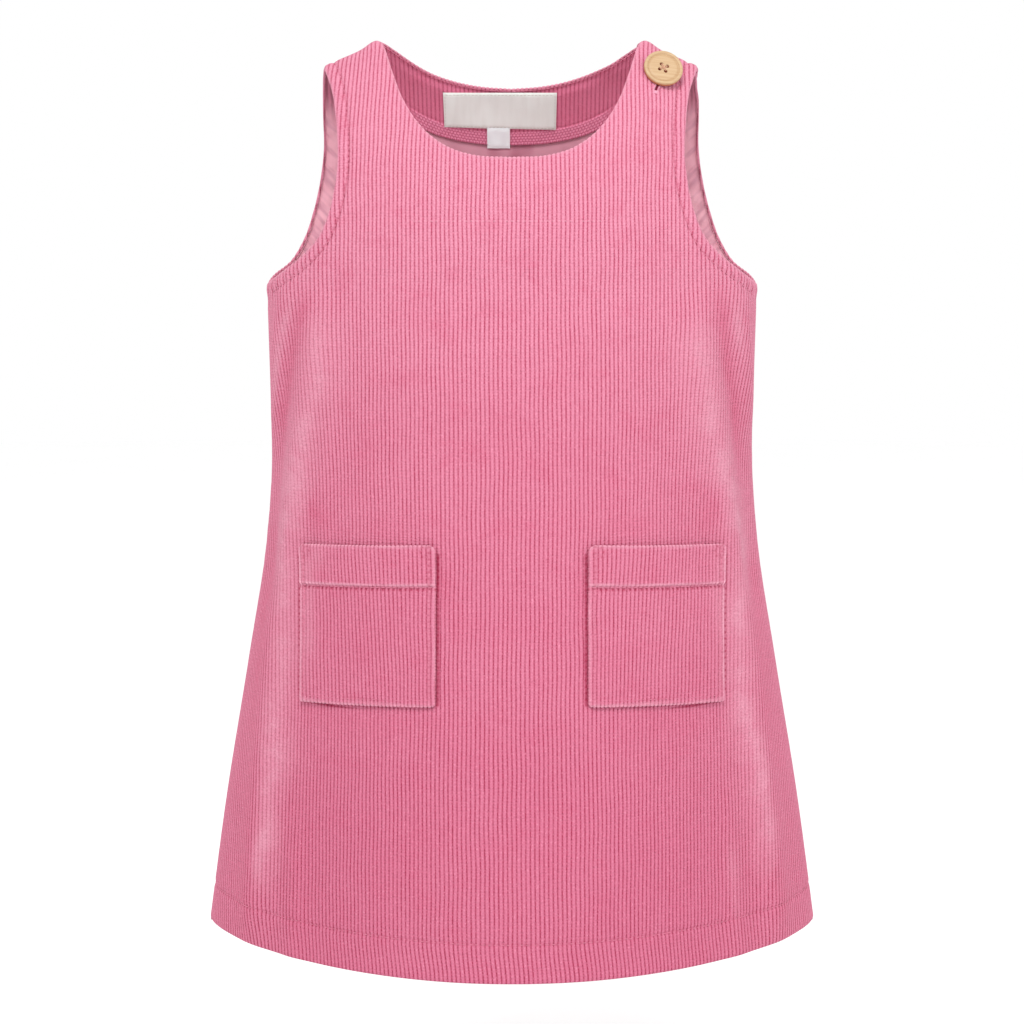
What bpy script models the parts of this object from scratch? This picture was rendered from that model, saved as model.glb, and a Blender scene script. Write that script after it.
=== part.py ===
"""A toddler's corduroy pinafore dress, filled out as if worn, with one sewn and one buttoned shoulder.

The dress is a hollow tube of cloth that leans in above the underarms and folds over the shoulders.
Every piece is drawn on the cloth itself, in two measures taken over its surface:

    across   from the centre line, towards the wearer's left (+X)
    down     from the shoulder line, towards the hem; below zero is over the shoulder, on the other face

so a pocket, a neckline or a fold is placed as a maker would mark it on the flat cloth, and one
function, form(), bends the cloth into shape. The origin is midway between the straps, at the top of
the shoulders. The front faces -Y and +Z is up. All sizes are in metres.
"""

import math
from collections import namedtuple

import bmesh
import bpy
import numpy as np
from mathutils import Matrix, Vector

# Cloth
CORDUROY = 0.0016
TURNED_HEM = 0.0026
LINING = 0.0010
LINING_EASE = 0.0018  # between a panel and its lining
LINING_INSET = 0.0016  # the lining stops this far inside the neck and armholes
FACING = 0.0012
FACING_GAP = 0.0006
RIBBON = 0.0010
GAP = 0.0003  # between pieces that lie on or against each other
SEAM = 0.00015  # each panel stops this far short of a seam

# Heights along the centre line, and the depth of the turned-up hem
BODY_TOP = -0.119  # the underarm, where the faces start to lean in
HEM_HEIGHT = -0.4465
HEM_RISE = 0.005  # how much higher the hem is cut at the side seams
HEM_DEPTH = 0.018

# Level rings of the body, from the underarm down. Fullness is how far the face bulges to a point.
Ring = namedtuple("Ring", "height half_width front_depth back_depth front_fullness back_fullness")
RINGS = [
    Ring(-0.119, 0.1222, 0.069, 0.060, 0.10, 0.05),
    Ring(-0.155, 0.1212, 0.074, 0.063, 0.15, 0.05),
    Ring(-0.200, 0.1200, 0.080, 0.069, 0.20, 0.10),
    Ring(-0.250, 0.1234, 0.089, 0.077, 0.30, 0.15),
    Ring(-0.310, 0.1328, 0.101, 0.088, 0.38, 0.20),
    Ring(-0.375, 0.1437, 0.113, 0.100, 0.45, 0.25),
    Ring(-0.448, 0.1540, 0.125, 0.110, 0.50, 0.30),
]

# How the faces lean in to the shoulder line, and how that line falls towards the arms
LEAN_POWER = 2.0
RIDGE_POWER = 1.6
STRAP_DEPTH = 0.050  # from the shoulder line to the front of a strap at the underarm's height
SLOPE_START = 0.062
SHOULDER_SLOPE = 0.465
SLOPE_ROUNDING = 0.004
ASIDE = -0.0006  # the shoulders hang this far to the wearer's right

# Soft folds: a ridge (above zero) or trough (below zero) along a bowed line down the cloth
Fold = namedtuple("Fold", "face start_across start_down end_across end_down bow width height")
FRONT = -1
BACK = 1
FOLDS = [
    Fold(FRONT, -0.097, 0.135, -0.152, 0.475, -0.011, 0.013, 0.0034),
    Fold(FRONT, -0.108, 0.140, -0.150, 0.310, -0.006, 0.012, -0.0022),
    Fold(FRONT, -0.114, 0.120, -0.150, 0.235, -0.005, 0.008, 0.0012),
    Fold(FRONT, 0.088, 0.135, 0.158, 0.475, 0.010, 0.013, 0.0032),
    Fold(FRONT, 0.106, 0.145, 0.148, 0.310, 0.006, 0.012, -0.0020),
    Fold(FRONT, 0.113, 0.120, 0.150, 0.225, 0.004, 0.008, 0.0012),
    Fold(BACK, -0.094, 0.150, -0.146, 0.475, -0.009, 0.015, 0.0032),
    Fold(BACK, 0.090, 0.140, 0.150, 0.475, 0.008, 0.014, 0.0034),
    Fold(BACK, 0.034, 0.260, 0.066, 0.490, 0.004, 0.019, 0.0026),
    Fold(BACK, -0.058, 0.280, -0.078, 0.490, 0.000, 0.018, -0.0024),
]
FOLD_END = 0.035  # a fold dies away over this length at each end

# Edges of the left half of each face, from the centre or the underarm up to the shoulder line.
# The right half is the same, mirrored.
Mark = namedtuple("Mark", "across down")
UNDERARM_DOWN = 0.1385
FRONT_NECK = [
    Mark(0.0000, 0.0755),
    Mark(0.0180, 0.0744),
    Mark(0.0290, 0.0710),
    Mark(0.0385, 0.0648),
    Mark(0.0460, 0.0565),
    Mark(0.0525, 0.0450),
    Mark(0.0575, 0.0300),
    Mark(0.0620, 0.0110),
    Mark(0.0645, 0.0000),
]
FRONT_ARMHOLE = [
    Mark(0.1385, 0.1360),
    Mark(0.1220, 0.1300),
    Mark(0.1085, 0.1225),
    Mark(0.0990, 0.1140),
    Mark(0.0935, 0.1040),
    Mark(0.0895, 0.0910),
    Mark(0.0870, 0.0740),
    Mark(0.0872, 0.0560),
    Mark(0.0895, 0.0320),
    Mark(0.0935, 0.0130),
    Mark(0.0963, 0.0000),
]
BACK_NECK = [
    Mark(0.0000, 0.0356),
    Mark(0.0160, 0.0342),
    Mark(0.0300, 0.0308),
    Mark(0.0400, 0.0265),
    Mark(0.0500, 0.0192),
    Mark(0.0580, 0.0105),
    Mark(0.0645, 0.0000),
]
BACK_ARMHOLE = [
    Mark(0.1350, 0.1333),
    Mark(0.1210, 0.1265),
    Mark(0.1122, 0.1155),
    Mark(0.1054, 0.0995),
    Mark(0.1005, 0.0815),
    Mark(0.0978, 0.0640),
    Mark(0.0972, 0.0420),
    Mark(0.0967, 0.0200),
    Mark(0.0963, 0.0000),
]
FACING_EDGE = [
    Mark(0.0000, 0.0675),
    Mark(0.0180, 0.0668),
    Mark(0.0400, 0.0615),
    Mark(0.0560, 0.0500),
    Mark(0.0680, 0.0330),
    Mark(0.0760, 0.0150),
    Mark(0.0790, 0.0000),
]

# The buttoned shoulder, on the wearer's left: the front strap laps over the back, and the back strap
# runs on under it as a tab
LAP_NECK = [Mark(0.0645, 0.0000), Mark(0.0600, -0.0060), Mark(0.0535, -0.0130)]
LAP_ARM = [Mark(0.0963, 0.0000), Mark(0.0962, -0.0060), Mark(0.0958, -0.0130)]
TAB_NECK = [Mark(0.0645, 0.0000), Mark(0.0632, -0.0120), Mark(0.0602, -0.0300)]
TAB_ARM = [Mark(0.0955, 0.0000), Mark(0.0918, -0.0120), Mark(0.0878, -0.0300)]
SINK_FROM = 0.032  # the back strap starts to dip under the lap here
SINK_FULL = 0.017

# Patch pockets
POCKET_WIDTH = 0.0783
POCKET_HEIGHT = 0.0758
POCKET_ACROSS = 0.0363  # from the centre line to the inner edge
POCKET_DOWN = 0.2608
POCKET_TILT = 0.0030  # how much lower the outer edge lies
POCKET_BAND = 0.0200  # the top edge, turned down double
POCKET_GAP = 0.0004

# Neck label and size tag
LABEL_LEFT = -0.0346
LABEL_WIDTH = 0.0580
LABEL_DOWN = 0.0362
LABEL_HEIGHT = 0.0200
TAG_LEFT = -0.0128
TAG_WIDTH = 0.0117
TAG_HEIGHT = 0.0105

# Button
BUTTON_ACROSS = 0.0747
BUTTON_DOWN = 0.0245
BUTTON_RADIUS = 0.0097
BUTTON_THICKNESS = 0.0030
BUTTON_DISH_RADIUS = 0.0068
BUTTON_DISH_DEPTH = 0.0007
BUTTON_ROUNDING = 0.0009
BUTTON_HOLE_RADIUS = 0.00095
BUTTON_HOLE_OFFSET = 0.0020  # from the button's centre
BUTTON_TURN = math.radians(27)
BUTTON_LEAN = math.radians(8)  # the button stands this much steeper than the strap
BUTTON_LIFT = 0.0013

# How finely the solids are divided
SKIRT_ROWS = 18
YOKE_ROWS = 6
STRAP_ROWS = 9
COLUMNS = 15
LINING_SHARE = 0.65


def smooth_step(x):
    """0 below 0 and 1 above 1, with a soft rise between."""
    x = np.clip(x, 0.0, 1.0)
    return x * x * (3.0 - 2.0 * x)


def smooth_curve(xs, ys, x):
    """A smooth curve through the points (xs, ys), with xs rising, read at x."""
    xs = np.asarray(xs, float)
    ys = np.asarray(ys, float)
    slopes = np.gradient(ys, xs)
    x = np.clip(x, xs[0], xs[-1])
    i = np.clip(np.searchsorted(xs, x) - 1, 0, len(xs) - 2)
    step = xs[i + 1] - xs[i]
    t = (x - xs[i]) / step
    rise = ys[i + 1] - ys[i]
    a = slopes[i] * step - rise
    b = rise - slopes[i + 1] * step
    return ys[i] + t * rise + t * (1 - t) * ((1 - t) * a + t * b)


def ring_value(name, height):
    heights = [ring.height for ring in reversed(RINGS)]
    values = [getattr(ring, name) for ring in reversed(RINGS)]
    return smooth_curve(heights, values, height)


class Profile:
    """How a strap rises from the underarm to the shoulder line, measured over the cloth."""

    rise = np.sin(np.linspace(0.0, math.pi / 2, 241))  # share of the way up
    height = BODY_TOP * (1.0 - rise)
    lean = (1.0 - rise**LEAN_POWER).clip(0.0) ** (1.0 / RIDGE_POWER)
    step = np.hypot(np.diff(height), STRAP_DEPTH * np.diff(lean))
    below_ridge = np.concatenate([[0.0], np.cumsum(step)])
    below_ridge = below_ridge[-1] - below_ridge


BODY_TOP_DOWN = float(Profile.below_ridge[0])
HEM_DOWN = BODY_TOP_DOWN + BODY_TOP - HEM_HEIGHT


def ring_point(face, angle, down):
    """The point of a face at an angle from its centre line (radians) and a distance down."""
    distance = np.abs(down)
    side = np.where(down < 0.0, -face, face)
    on_body = distance > BODY_TOP_DOWN
    leaning_height = np.interp(distance, Profile.below_ridge[::-1], Profile.height[::-1])
    height = np.where(on_body, BODY_TOP - (distance - BODY_TOP_DOWN), leaning_height)
    lean = np.where(on_body, 1.0, np.interp(distance, Profile.below_ridge[::-1], Profile.lean[::-1]))
    ring_height = np.minimum(height, BODY_TOP)
    half_width = ring_value("half_width", ring_height)
    front = side < 0
    depth = np.where(front, ring_value("front_depth", ring_height), ring_value("back_depth", ring_height))
    fullness = np.where(
        front, ring_value("front_fullness", ring_height), ring_value("back_fullness", ring_height)
    )
    x = half_width * np.sin(angle)
    y = side * depth * lean * np.cos(angle) * (1.0 - fullness + fullness * np.cos(angle))
    past_neck = np.abs(x) - SLOPE_START
    fall = 0.5 * (past_neck + np.sqrt(past_neck**2 + SLOPE_ROUNDING**2))
    slope = SHOULDER_SLOPE * (1.0 - height / BODY_TOP).clip(0.0) ** 2
    aside = ASIDE * smooth_step(1.0 - height / BODY_TOP)
    return np.stack([x + aside, y, height - slope * fall], axis=-1)


LEVELS = np.linspace(-0.040, HEM_DOWN + 0.012, 260)  # distances down that the unrolled tables hold
SHARES = np.linspace(0.0, 1.0, 121)  # shares of the way from the centre line to the side seam


def unroll(face):
    """For each level, the distance to the side seam, and the angle at each share of it."""
    angles = np.linspace(0.0, math.pi / 2, 181)
    grid = ring_point(face, angles[None, :], LEVELS[:, None])
    runs = np.linalg.norm(np.diff(grid, axis=1), axis=2).cumsum(axis=1)
    runs = np.concatenate([np.zeros((len(LEVELS), 1)), runs], axis=1)
    shares = np.array([np.interp(SHARES * run[-1], run, angles) for run in runs])
    return runs[:, -1], shares


UNROLLED = {FRONT: unroll(FRONT), BACK: unroll(BACK)}


def side_seam(face, down):
    """The distance across from the centre line to the side seam."""
    return np.interp(down, LEVELS, UNROLLED[face][0])


def angle_at(face, across, down):
    """The angle round the ring for a place on the flat cloth."""
    across, down = np.broadcast_arrays(across, down)
    table = UNROLLED[face][1]
    row = (down - LEVELS[0]) / (LEVELS[1] - LEVELS[0])
    row = np.clip(row, 0, len(LEVELS) - 1.001)
    column = np.abs(across) / side_seam(face, down) * (len(SHARES) - 1)
    column = np.clip(column, 0, len(SHARES) - 1.001)
    i = row.astype(int)
    j = column.astype(int)
    f = row - i
    g = column - j
    angle = (table[i, j] * (1 - g) + table[i, j + 1] * g) * (1 - f)
    angle += (table[i + 1, j] * (1 - g) + table[i + 1, j + 1] * g) * f
    return angle * np.sign(across)


def fold_height(face, across, down):
    """How far the folds lift the cloth, or sink it, at a place on the flat cloth."""
    total = np.zeros(np.broadcast(across, down).shape)
    for fold in FOLDS:
        if fold.face != face:
            continue
        length = fold.end_down - fold.start_down
        share = (down - fold.start_down) / length
        line = fold.start_across + share * (fold.end_across - fold.start_across)
        line = line + fold.bow * 4.0 * share * (1.0 - share)
        ends = smooth_step((down - fold.start_down) / FOLD_END)
        ends = ends * smooth_step((fold.end_down - down) / FOLD_END)
        total = total + fold.height * ends * np.exp(-(((across - line) / fold.width) ** 2))
    return total


def form(face, across, down, out=0.0):
    """The point of the dress at a place on the flat cloth, moved out from its surface."""
    across, down = np.broadcast_arrays(np.asarray(across, float), np.asarray(down, float))
    small = 0.0005
    angle = angle_at(face, across, down)
    point = ring_point(face, angle, down)
    turn = 0.004
    along = ring_point(face, angle + turn, down) - ring_point(face, angle - turn, down)
    lower = ring_point(face, angle, down + small) - ring_point(face, angle, down - small)
    normal = np.cross(along, lower) * face
    normal /= np.linalg.norm(normal, axis=-1, keepdims=True)
    lift = fold_height(face, across, down) + out
    return point + normal * lift[..., None]


def sink(face, across, down):
    """How far the back's layers dip on the buttoned shoulder, to pass under the front strap."""
    if face == FRONT:
        return np.zeros(np.broadcast(across, down).shape)
    share = smooth_step((SINK_FROM - np.asarray(down)) / (SINK_FROM - SINK_FULL))
    sideways = smooth_step((np.asarray(across) - 0.5 * FRONT_NECK[-1].across) / 0.02)
    return share * sideways * (CORDUROY + 2.0 * GAP)


def run(marks, start, end, steps):
    """Places along a smooth line through marks, from one share of its length to another."""
    points = np.array(marks)
    chords = np.concatenate([[0.0], np.linalg.norm(np.diff(points, axis=0), axis=1).cumsum()])
    wanted = np.linspace(start, end, steps + 1) * chords[-1]
    return np.stack([smooth_curve(chords, points[:, k], wanted) for k in (0, 1)], axis=1)


def length(marks):
    return float(np.linalg.norm(np.diff(np.array(marks), axis=0), axis=1).sum())


def inset(marks, across_by, down_by):
    """The same line moved in from the cloth's edge, still meeting the shoulder line."""
    return [Mark(m.across + across_by, m.down + (down_by if m.down > 0.0 else 0.0)) for m in marks]


def half_rows(face, neck, armhole, underarm, hem, hem_band, detail):
    """The rows of half a face, hem first, each from the centre or neck edge to the side or armhole.

    The first joined_rows of them start at the centre line, where the halves join.
    """
    rows = []
    skirt = max(4, round(SKIRT_ROWS * detail))
    levels = list(np.linspace(hem, underarm, skirt + 1))
    if hem_band:
        levels[1:2] = [hem - HEM_DEPTH, hem - HEM_DEPTH - 0.001]
    for level in levels:
        seam_level = level - HEM_RISE * smooth_step((level - 0.2) / (hem - 0.2))
        rows.append(((0.0, level), (side_seam(face, seam_level), seam_level)))
    arm = [Mark(float(side_seam(face, underarm)), underarm)] + list(armhole)
    centre = underarm - neck[0].down
    turn = centre / (centre + length(neck))
    yoke = max(3, round(YOKE_ROWS * detail))
    inner = np.linspace((0.0, underarm), (0.0, neck[0].down), yoke + 1)
    rows += list(zip(inner[1:], run(arm, 0.0, turn, yoke)[1:]))
    joined_rows = len(rows)
    strap = max(5, round(STRAP_ROWS * detail))
    rows += list(zip(run(neck, 0.0, 1.0, strap)[1:], run(arm, turn, 1.0, strap)[1:]))
    return rows, joined_rows


def sheet_grid(rows_by_half, joined_rows, columns):
    """Places on the flat cloth and the quads between them. The halves share their centre line."""
    places = []
    quads = []
    centre_line = {}
    for half, rows in rows_by_half.items():
        grid = []
        for i, (inner, outer) in enumerate(rows):
            joined = i < joined_rows
            line = []
            for j in range(columns + 1):
                if j == 0 and i in centre_line:
                    line.append(centre_line[i])
                    continue
                share = j / columns * (1.3 - 0.3 * j / columns)  # closer together where the sides turn
                across = inner[0] + (outer[0] - inner[0]) * share
                down = inner[1] + (outer[1] - inner[1]) * (share**2 if joined else share)
                line.append(len(places))
                places.append((half * across, down))
            if joined:
                centre_line[i] = line[0]
            grid.append(line)
        for lower, upper in zip(grid, grid[1:]):
            for j in range(columns):
                quad = (lower[j], lower[j + 1], upper[j + 1], upper[j])
                quads.append(quad if half > 0 else quad[::-1])
    return np.array(places), quads


def skins(face, places, quads, out, thickness):
    """Quads of places on the flat cloth, made a closed wall with its outer skin at out."""
    across = places[:, 0]
    down = places[:, 1]
    level = out - sink(face, across, down)
    points = np.concatenate([form(face, across, down, level), form(face, across, down, level - thickness)])
    count = len(places)
    faces = list(quads) + [tuple(v + count for v in reversed(quad)) for quad in quads]
    edges = {(a, b) for quad in quads for a, b in zip(quad, quad[1:] + quad[:1])}
    faces += [(b, a, a + count, b + count) for a, b in sorted(edges) if (b, a) not in edges]
    return points, faces


def material(name, colour, roughness):
    made = bpy.data.materials.new(name)
    made.use_nodes = True
    shader = made.node_tree.nodes["Principled BSDF"]
    shader.inputs["Base Color"].default_value = (*colour, 1.0)
    shader.inputs["Roughness"].default_value = roughness
    return made


def solid(name, points, faces, look):
    """A named object from points and faces, with its faces pointing out."""
    mesh = bpy.data.meshes.new(name)
    mesh.from_pydata([tuple(p) for p in points], [], faces)
    work = bmesh.new()
    work.from_mesh(mesh)
    bmesh.ops.recalc_face_normals(work, faces=work.faces)
    if work.calc_volume(signed=True) < 0.0:
        bmesh.ops.reverse_faces(work, faces=work.faces)
    work.to_mesh(mesh)
    work.free()
    mesh.shade_smooth()
    mesh.set_sharp_from_angle(angle=math.radians(40))
    mesh.materials.append(look)
    made = bpy.data.objects.new(name, mesh)
    bpy.context.scene.collection.objects.link(made)
    return made


def panel(name, face, look, cut, out, thickness, detail=1.0, turned=0.0, lap=None, short=0.0):
    """A front or back, or its lining, cut as one piece and open at the neck and armholes.

    turned is the wall's thickness where the hem is turned up. lap carries the buttoned strap on over
    the shoulder line, and short stops it below that line.
    """
    rows, joined_rows = half_rows(face, *cut, turned > 0.0, detail)
    buttoned = list(rows)
    if lap:
        buttoned += list(zip(*(run(line, 0.0, 1.0, 3)[1:] for line in lap)))
    if short:
        buttoned = [row for row in buttoned if row[0][1] > short]
    places, quads = sheet_grid({1: buttoned, -1: rows}, joined_rows, round(COLUMNS * detail))
    share = np.abs(places[:, 0]) / side_seam(face, places[:, 1])
    in_hem = places[:, 1] > cut[3] - HEM_DEPTH - HEM_RISE * share**2 - 0.0005
    wall = np.where(in_hem, turned, thickness) if turned else np.full(len(places), thickness)
    points, faces = skins(face, places, quads, out, wall)
    points[:, 1] += face * SEAM
    return solid(name, points, faces, look)


def patch(name, face, look, corner, width, height, tilt, columns, rows, out, thickness, band=0.0):
    """A four-sided piece laid on a face. corner is its top edge's end nearest the wearer's right."""
    downs = list(np.linspace(0.0, height, rows + 1))
    if band:
        downs = [0.0, band * 0.5, band, band + 0.0006] + list(np.linspace(band, height, rows - 1)[1:])
    across = np.linspace(0.0, width, columns + 1)
    grid_across, grid_down = np.meshgrid(across, downs)
    places = np.stack([corner[0] + grid_across, corner[1] + grid_down + tilt * grid_across / width], axis=-1)
    wide = columns + 1
    quads = [
        (i * wide + j, (i + 1) * wide + j, (i + 1) * wide + j + 1, i * wide + j + 1)
        for i in range(len(downs) - 1)
        for j in range(columns)
    ]
    raised = np.where(grid_down.ravel() <= band, 0.0006, 0.0) if band else 0.0
    points, faces = skins(face, places.reshape(-1, 2), quads, out + raised, thickness + raised)
    return solid(name, points, faces, look)


def neck_facing(look):
    """The band inside the back neck, from shoulder to shoulder."""
    steps = 13
    rows = list(zip(run(BACK_NECK, 0.0, 1.0, steps), run(FACING_EDGE, 0.0, 1.0, steps)))
    places = []
    quads = []
    wide = 5
    line = [(half, row) for half, part in ((-1, rows[:0:-1]), (1, rows)) for row in part]
    for half, (inner, outer) in line:
        for share in np.linspace(0.0, 1.0, wide):
            place = np.array(inner) + (np.array(outer) - np.array(inner)) * share
            edge = 0.0008 if share == 0.0 else 0.0
            places.append((half * place[0], place[1] + edge * (place[1] > 0.0)))
    for i in range(len(line) - 1):
        for j in range(wide - 1):
            first = i * wide + j
            quads.append((first, first + 1, first + wide + 1, first + wide))
    points, faces = skins(BACK, np.array(places), quads, -CORDUROY - FACING_GAP, FACING)
    points[:, 1] += BACK * SEAM
    return solid("neck_facing_back", points, faces, look)


def turned_profile(outline, steps):
    """A closed round body from (radius, height) pairs that start and end on the axis."""
    points = [(0.0, 0.0, outline[0][1])]
    for radius, height in outline[1:-1]:
        for k in range(steps):
            turn = 2.0 * math.pi * k / steps
            points.append((radius * math.cos(turn), radius * math.sin(turn), height))
    points.append((0.0, 0.0, outline[-1][1]))
    rings = len(outline) - 2
    faces = []
    for k in range(steps):
        after = (k + 1) % steps
        faces.append((0, 1 + k, 1 + after))
        for ring in range(rings - 1):
            base = 1 + ring * steps
            faces.append((base + k, base + steps + k, base + steps + after, base + after))
        last = 1 + (rings - 1) * steps
        faces.append((len(points) - 1, last + after, last + k))
    return points, faces


def button(look):
    """A round wooden button with a raised rim and four holes, seated on the lapped strap."""
    half = BUTTON_THICKNESS / 2.0
    top = half
    dish = top - BUTTON_DISH_DEPTH
    rim_top = BUTTON_RADIUS - BUTTON_ROUNDING
    outline = [
        (0.0, dish),
        (BUTTON_DISH_RADIUS - BUTTON_ROUNDING, dish),
        (BUTTON_DISH_RADIUS, top - BUTTON_DISH_DEPTH * 0.3),
        (BUTTON_DISH_RADIUS + BUTTON_ROUNDING, top),
        (rim_top, top - BUTTON_ROUNDING * 0.1),
        (BUTTON_RADIUS - BUTTON_ROUNDING * 0.3, top - BUTTON_ROUNDING * 0.5),
        (BUTTON_RADIUS, top - BUTTON_ROUNDING * 1.4),
        (BUTTON_RADIUS, -half + BUTTON_ROUNDING),
        (rim_top, -half),
        (0.0, -half),
    ]
    points, faces = turned_profile(outline, 40)
    made = solid("button", points, faces, look)
    for k in range(4):
        turn = BUTTON_TURN + math.pi / 2.0 * k
        bpy.ops.mesh.primitive_cylinder_add(vertices=16, radius=BUTTON_HOLE_RADIUS, depth=0.02)
        cutter = bpy.context.object
        cutter.name = f"hole_cutter_{k}"
        cutter.location = (BUTTON_HOLE_OFFSET * math.cos(turn), BUTTON_HOLE_OFFSET * math.sin(turn), 0.0)
        cutter.parent = made
        cutter.hide_render = True
        cutter.display_type = "WIRE"
        hole = made.modifiers.new(f"hole_{k}", "BOOLEAN")
        hole.operation = "DIFFERENCE"
        hole.object = cutter
    seat = Vector(form(FRONT, BUTTON_ACROSS, BUTTON_DOWN))
    above = Vector(form(FRONT, BUTTON_ACROSS, BUTTON_DOWN, 0.01))
    axis = (above - seat).normalized()
    axis = Matrix.Rotation(BUTTON_LEAN, 3, "X") @ axis
    across = Vector((1.0, 0.0, 0.0))
    across = (across - axis * across.dot(axis)).normalized()
    turn = Matrix((across, axis.cross(across), axis)).transposed()
    made.matrix_world = Matrix.Translation(seat + axis * (half + BUTTON_LIFT)) @ turn.to_4x4()
    return made


def build():
    for old in list(bpy.data.objects):
        bpy.data.objects.remove(old)
    corduroy = material("corduroy", (0.78, 0.25, 0.38), 0.9)
    cotton = material("lining_cotton", (0.60, 0.32, 0.38), 0.7)
    satin = material("label_satin", (0.82, 0.78, 0.74), 0.5)
    white_satin = material("tag_satin", (0.86, 0.84, 0.84), 0.5)
    wood = material("button_wood", (0.80, 0.56, 0.32), 0.5)

    front_cut = (FRONT_NECK, FRONT_ARMHOLE, UNDERARM_DOWN, HEM_DOWN)
    back_cut = (BACK_NECK, BACK_ARMHOLE, UNDERARM_DOWN, HEM_DOWN)
    panel("front_panel", FRONT, corduroy, front_cut, 0.0, CORDUROY, 1.0, TURNED_HEM, (LAP_NECK, LAP_ARM))
    panel("back_panel", BACK, corduroy, back_cut, 0.0, CORDUROY, 0.85, TURNED_HEM, (TAB_NECK, TAB_ARM))

    lining_hem = HEM_DOWN - HEM_DEPTH - HEM_RISE - 0.004
    behind = -CORDUROY - LINING_EASE
    underarm = UNDERARM_DOWN + LINING_INSET
    neck_line = inset(FRONT_NECK, LINING_INSET, LINING_INSET)
    front_lining = (neck_line, inset(FRONT_ARMHOLE, -LINING_INSET, LINING_INSET), underarm, lining_hem)
    facing_line = inset(FACING_EDGE, 0.0008, 0.0014)
    back_lining = (facing_line, inset(BACK_ARMHOLE, -LINING_INSET, LINING_INSET), underarm, lining_hem)
    panel("lining_front", FRONT, cotton, front_lining, behind, LINING, LINING_SHARE, short=0.034)
    panel("lining_back", BACK, cotton, back_lining, behind, LINING, LINING_SHARE)
    neck_facing(corduroy)

    on_front = POCKET_GAP + CORDUROY
    outer = POCKET_ACROSS + POCKET_WIDTH
    pocket = (10, 8, on_front, CORDUROY, POCKET_BAND)
    size = (POCKET_WIDTH, POCKET_HEIGHT)
    patch("pocket_left", FRONT, corduroy, (POCKET_ACROSS, POCKET_DOWN), *size, POCKET_TILT, *pocket)
    low_corner = (-outer, POCKET_DOWN + POCKET_TILT)
    patch("pocket_right", FRONT, corduroy, low_corner, *size, -POCKET_TILT, *pocket)

    on_facing = -CORDUROY - FACING_GAP - FACING - GAP
    on_lining = -CORDUROY - LINING_EASE - LINING - GAP
    label = (LABEL_LEFT, LABEL_DOWN)
    patch("neck_label", BACK, satin, label, LABEL_WIDTH, LABEL_HEIGHT, 0.0, 8, 3, on_facing, RIBBON)
    tag = (TAG_LEFT, LABEL_DOWN + LABEL_HEIGHT + GAP)
    patch("size_tag", BACK, white_satin, tag, TAG_WIDTH, TAG_HEIGHT, 0.0, 2, 2, on_lining, RIBBON)
    button(wood)


build()
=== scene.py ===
# %% [markdown]
# # A child's corduroy pinafore dress
#
# The dress stands as if a small child wore it, but nobody is inside. It is a tube of corduroy that
# leans in above the underarms and folds over the shoulders, with a thin lining, two patch pockets
# and one shoulder that opens on a wooden button. We dress a fixed model of it: the solids give the
# sizes, and each cell here replaces one of them with cloth that has ribs, rolled edges and stitches.

# %% Load the fixed model
import math
from collections import namedtuple

import bpy
import numpy as np
from mathutils import Matrix, Vector


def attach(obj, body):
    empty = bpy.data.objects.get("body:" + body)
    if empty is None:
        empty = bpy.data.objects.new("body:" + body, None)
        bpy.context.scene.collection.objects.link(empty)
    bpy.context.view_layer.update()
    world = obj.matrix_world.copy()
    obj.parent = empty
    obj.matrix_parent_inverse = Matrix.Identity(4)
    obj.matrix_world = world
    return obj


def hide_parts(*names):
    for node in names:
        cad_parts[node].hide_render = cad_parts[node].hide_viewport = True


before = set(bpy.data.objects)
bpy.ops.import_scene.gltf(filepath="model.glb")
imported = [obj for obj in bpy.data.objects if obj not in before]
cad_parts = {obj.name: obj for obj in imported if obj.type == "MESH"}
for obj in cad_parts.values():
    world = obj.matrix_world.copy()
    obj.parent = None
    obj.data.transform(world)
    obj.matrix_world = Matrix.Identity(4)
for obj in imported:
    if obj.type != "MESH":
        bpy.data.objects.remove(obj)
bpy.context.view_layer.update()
print("nodes:", ", ".join(sorted(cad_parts)))

# %% [markdown]
# ## The camera
#
# It stands a little above the chest, one and a half metres away, and looks slightly down. A long lens
# keeps the hem and the shoulders at nearly the same scale.

# %% Place the camera
CAMERA_AT = (0.0, -1.55, -0.0956)
FOCAL_PIXELS = 3100
IMAGE_PIXELS = 1024
CAMERA_TILT = math.atan(280 / FOCAL_PIXELS)  # below the horizontal
SENSOR = 36.0

camera_data = bpy.data.cameras.new("camera")
camera_data.sensor_width = SENSOR
camera_data.lens = FOCAL_PIXELS / IMAGE_PIXELS * SENSOR
camera_data.clip_start = 0.01
camera = bpy.data.objects.new("camera", camera_data)
camera.location = CAMERA_AT
camera.rotation_euler = (math.pi / 2 - CAMERA_TILT, 0.0, 0.0)
bpy.context.scene.collection.objects.link(camera)
bpy.context.scene.camera = camera
print(f"camera: {camera_data.lens:.1f} mm lens, tilted down {math.degrees(CAMERA_TILT):.1f} degrees")

# %% [markdown]
# ## The form under the cloth
#
# A dressmaker works on flat cloth, and so do we. Every place on the dress has two measures: how far
# across it lies from the centre line, and how far down the cloth from the shoulder line. Below zero,
# down runs over the shoulder on to the other face. One function bends those measures into the round.
# The body is a stack of level rings, from the underarm to the hem.

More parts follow.
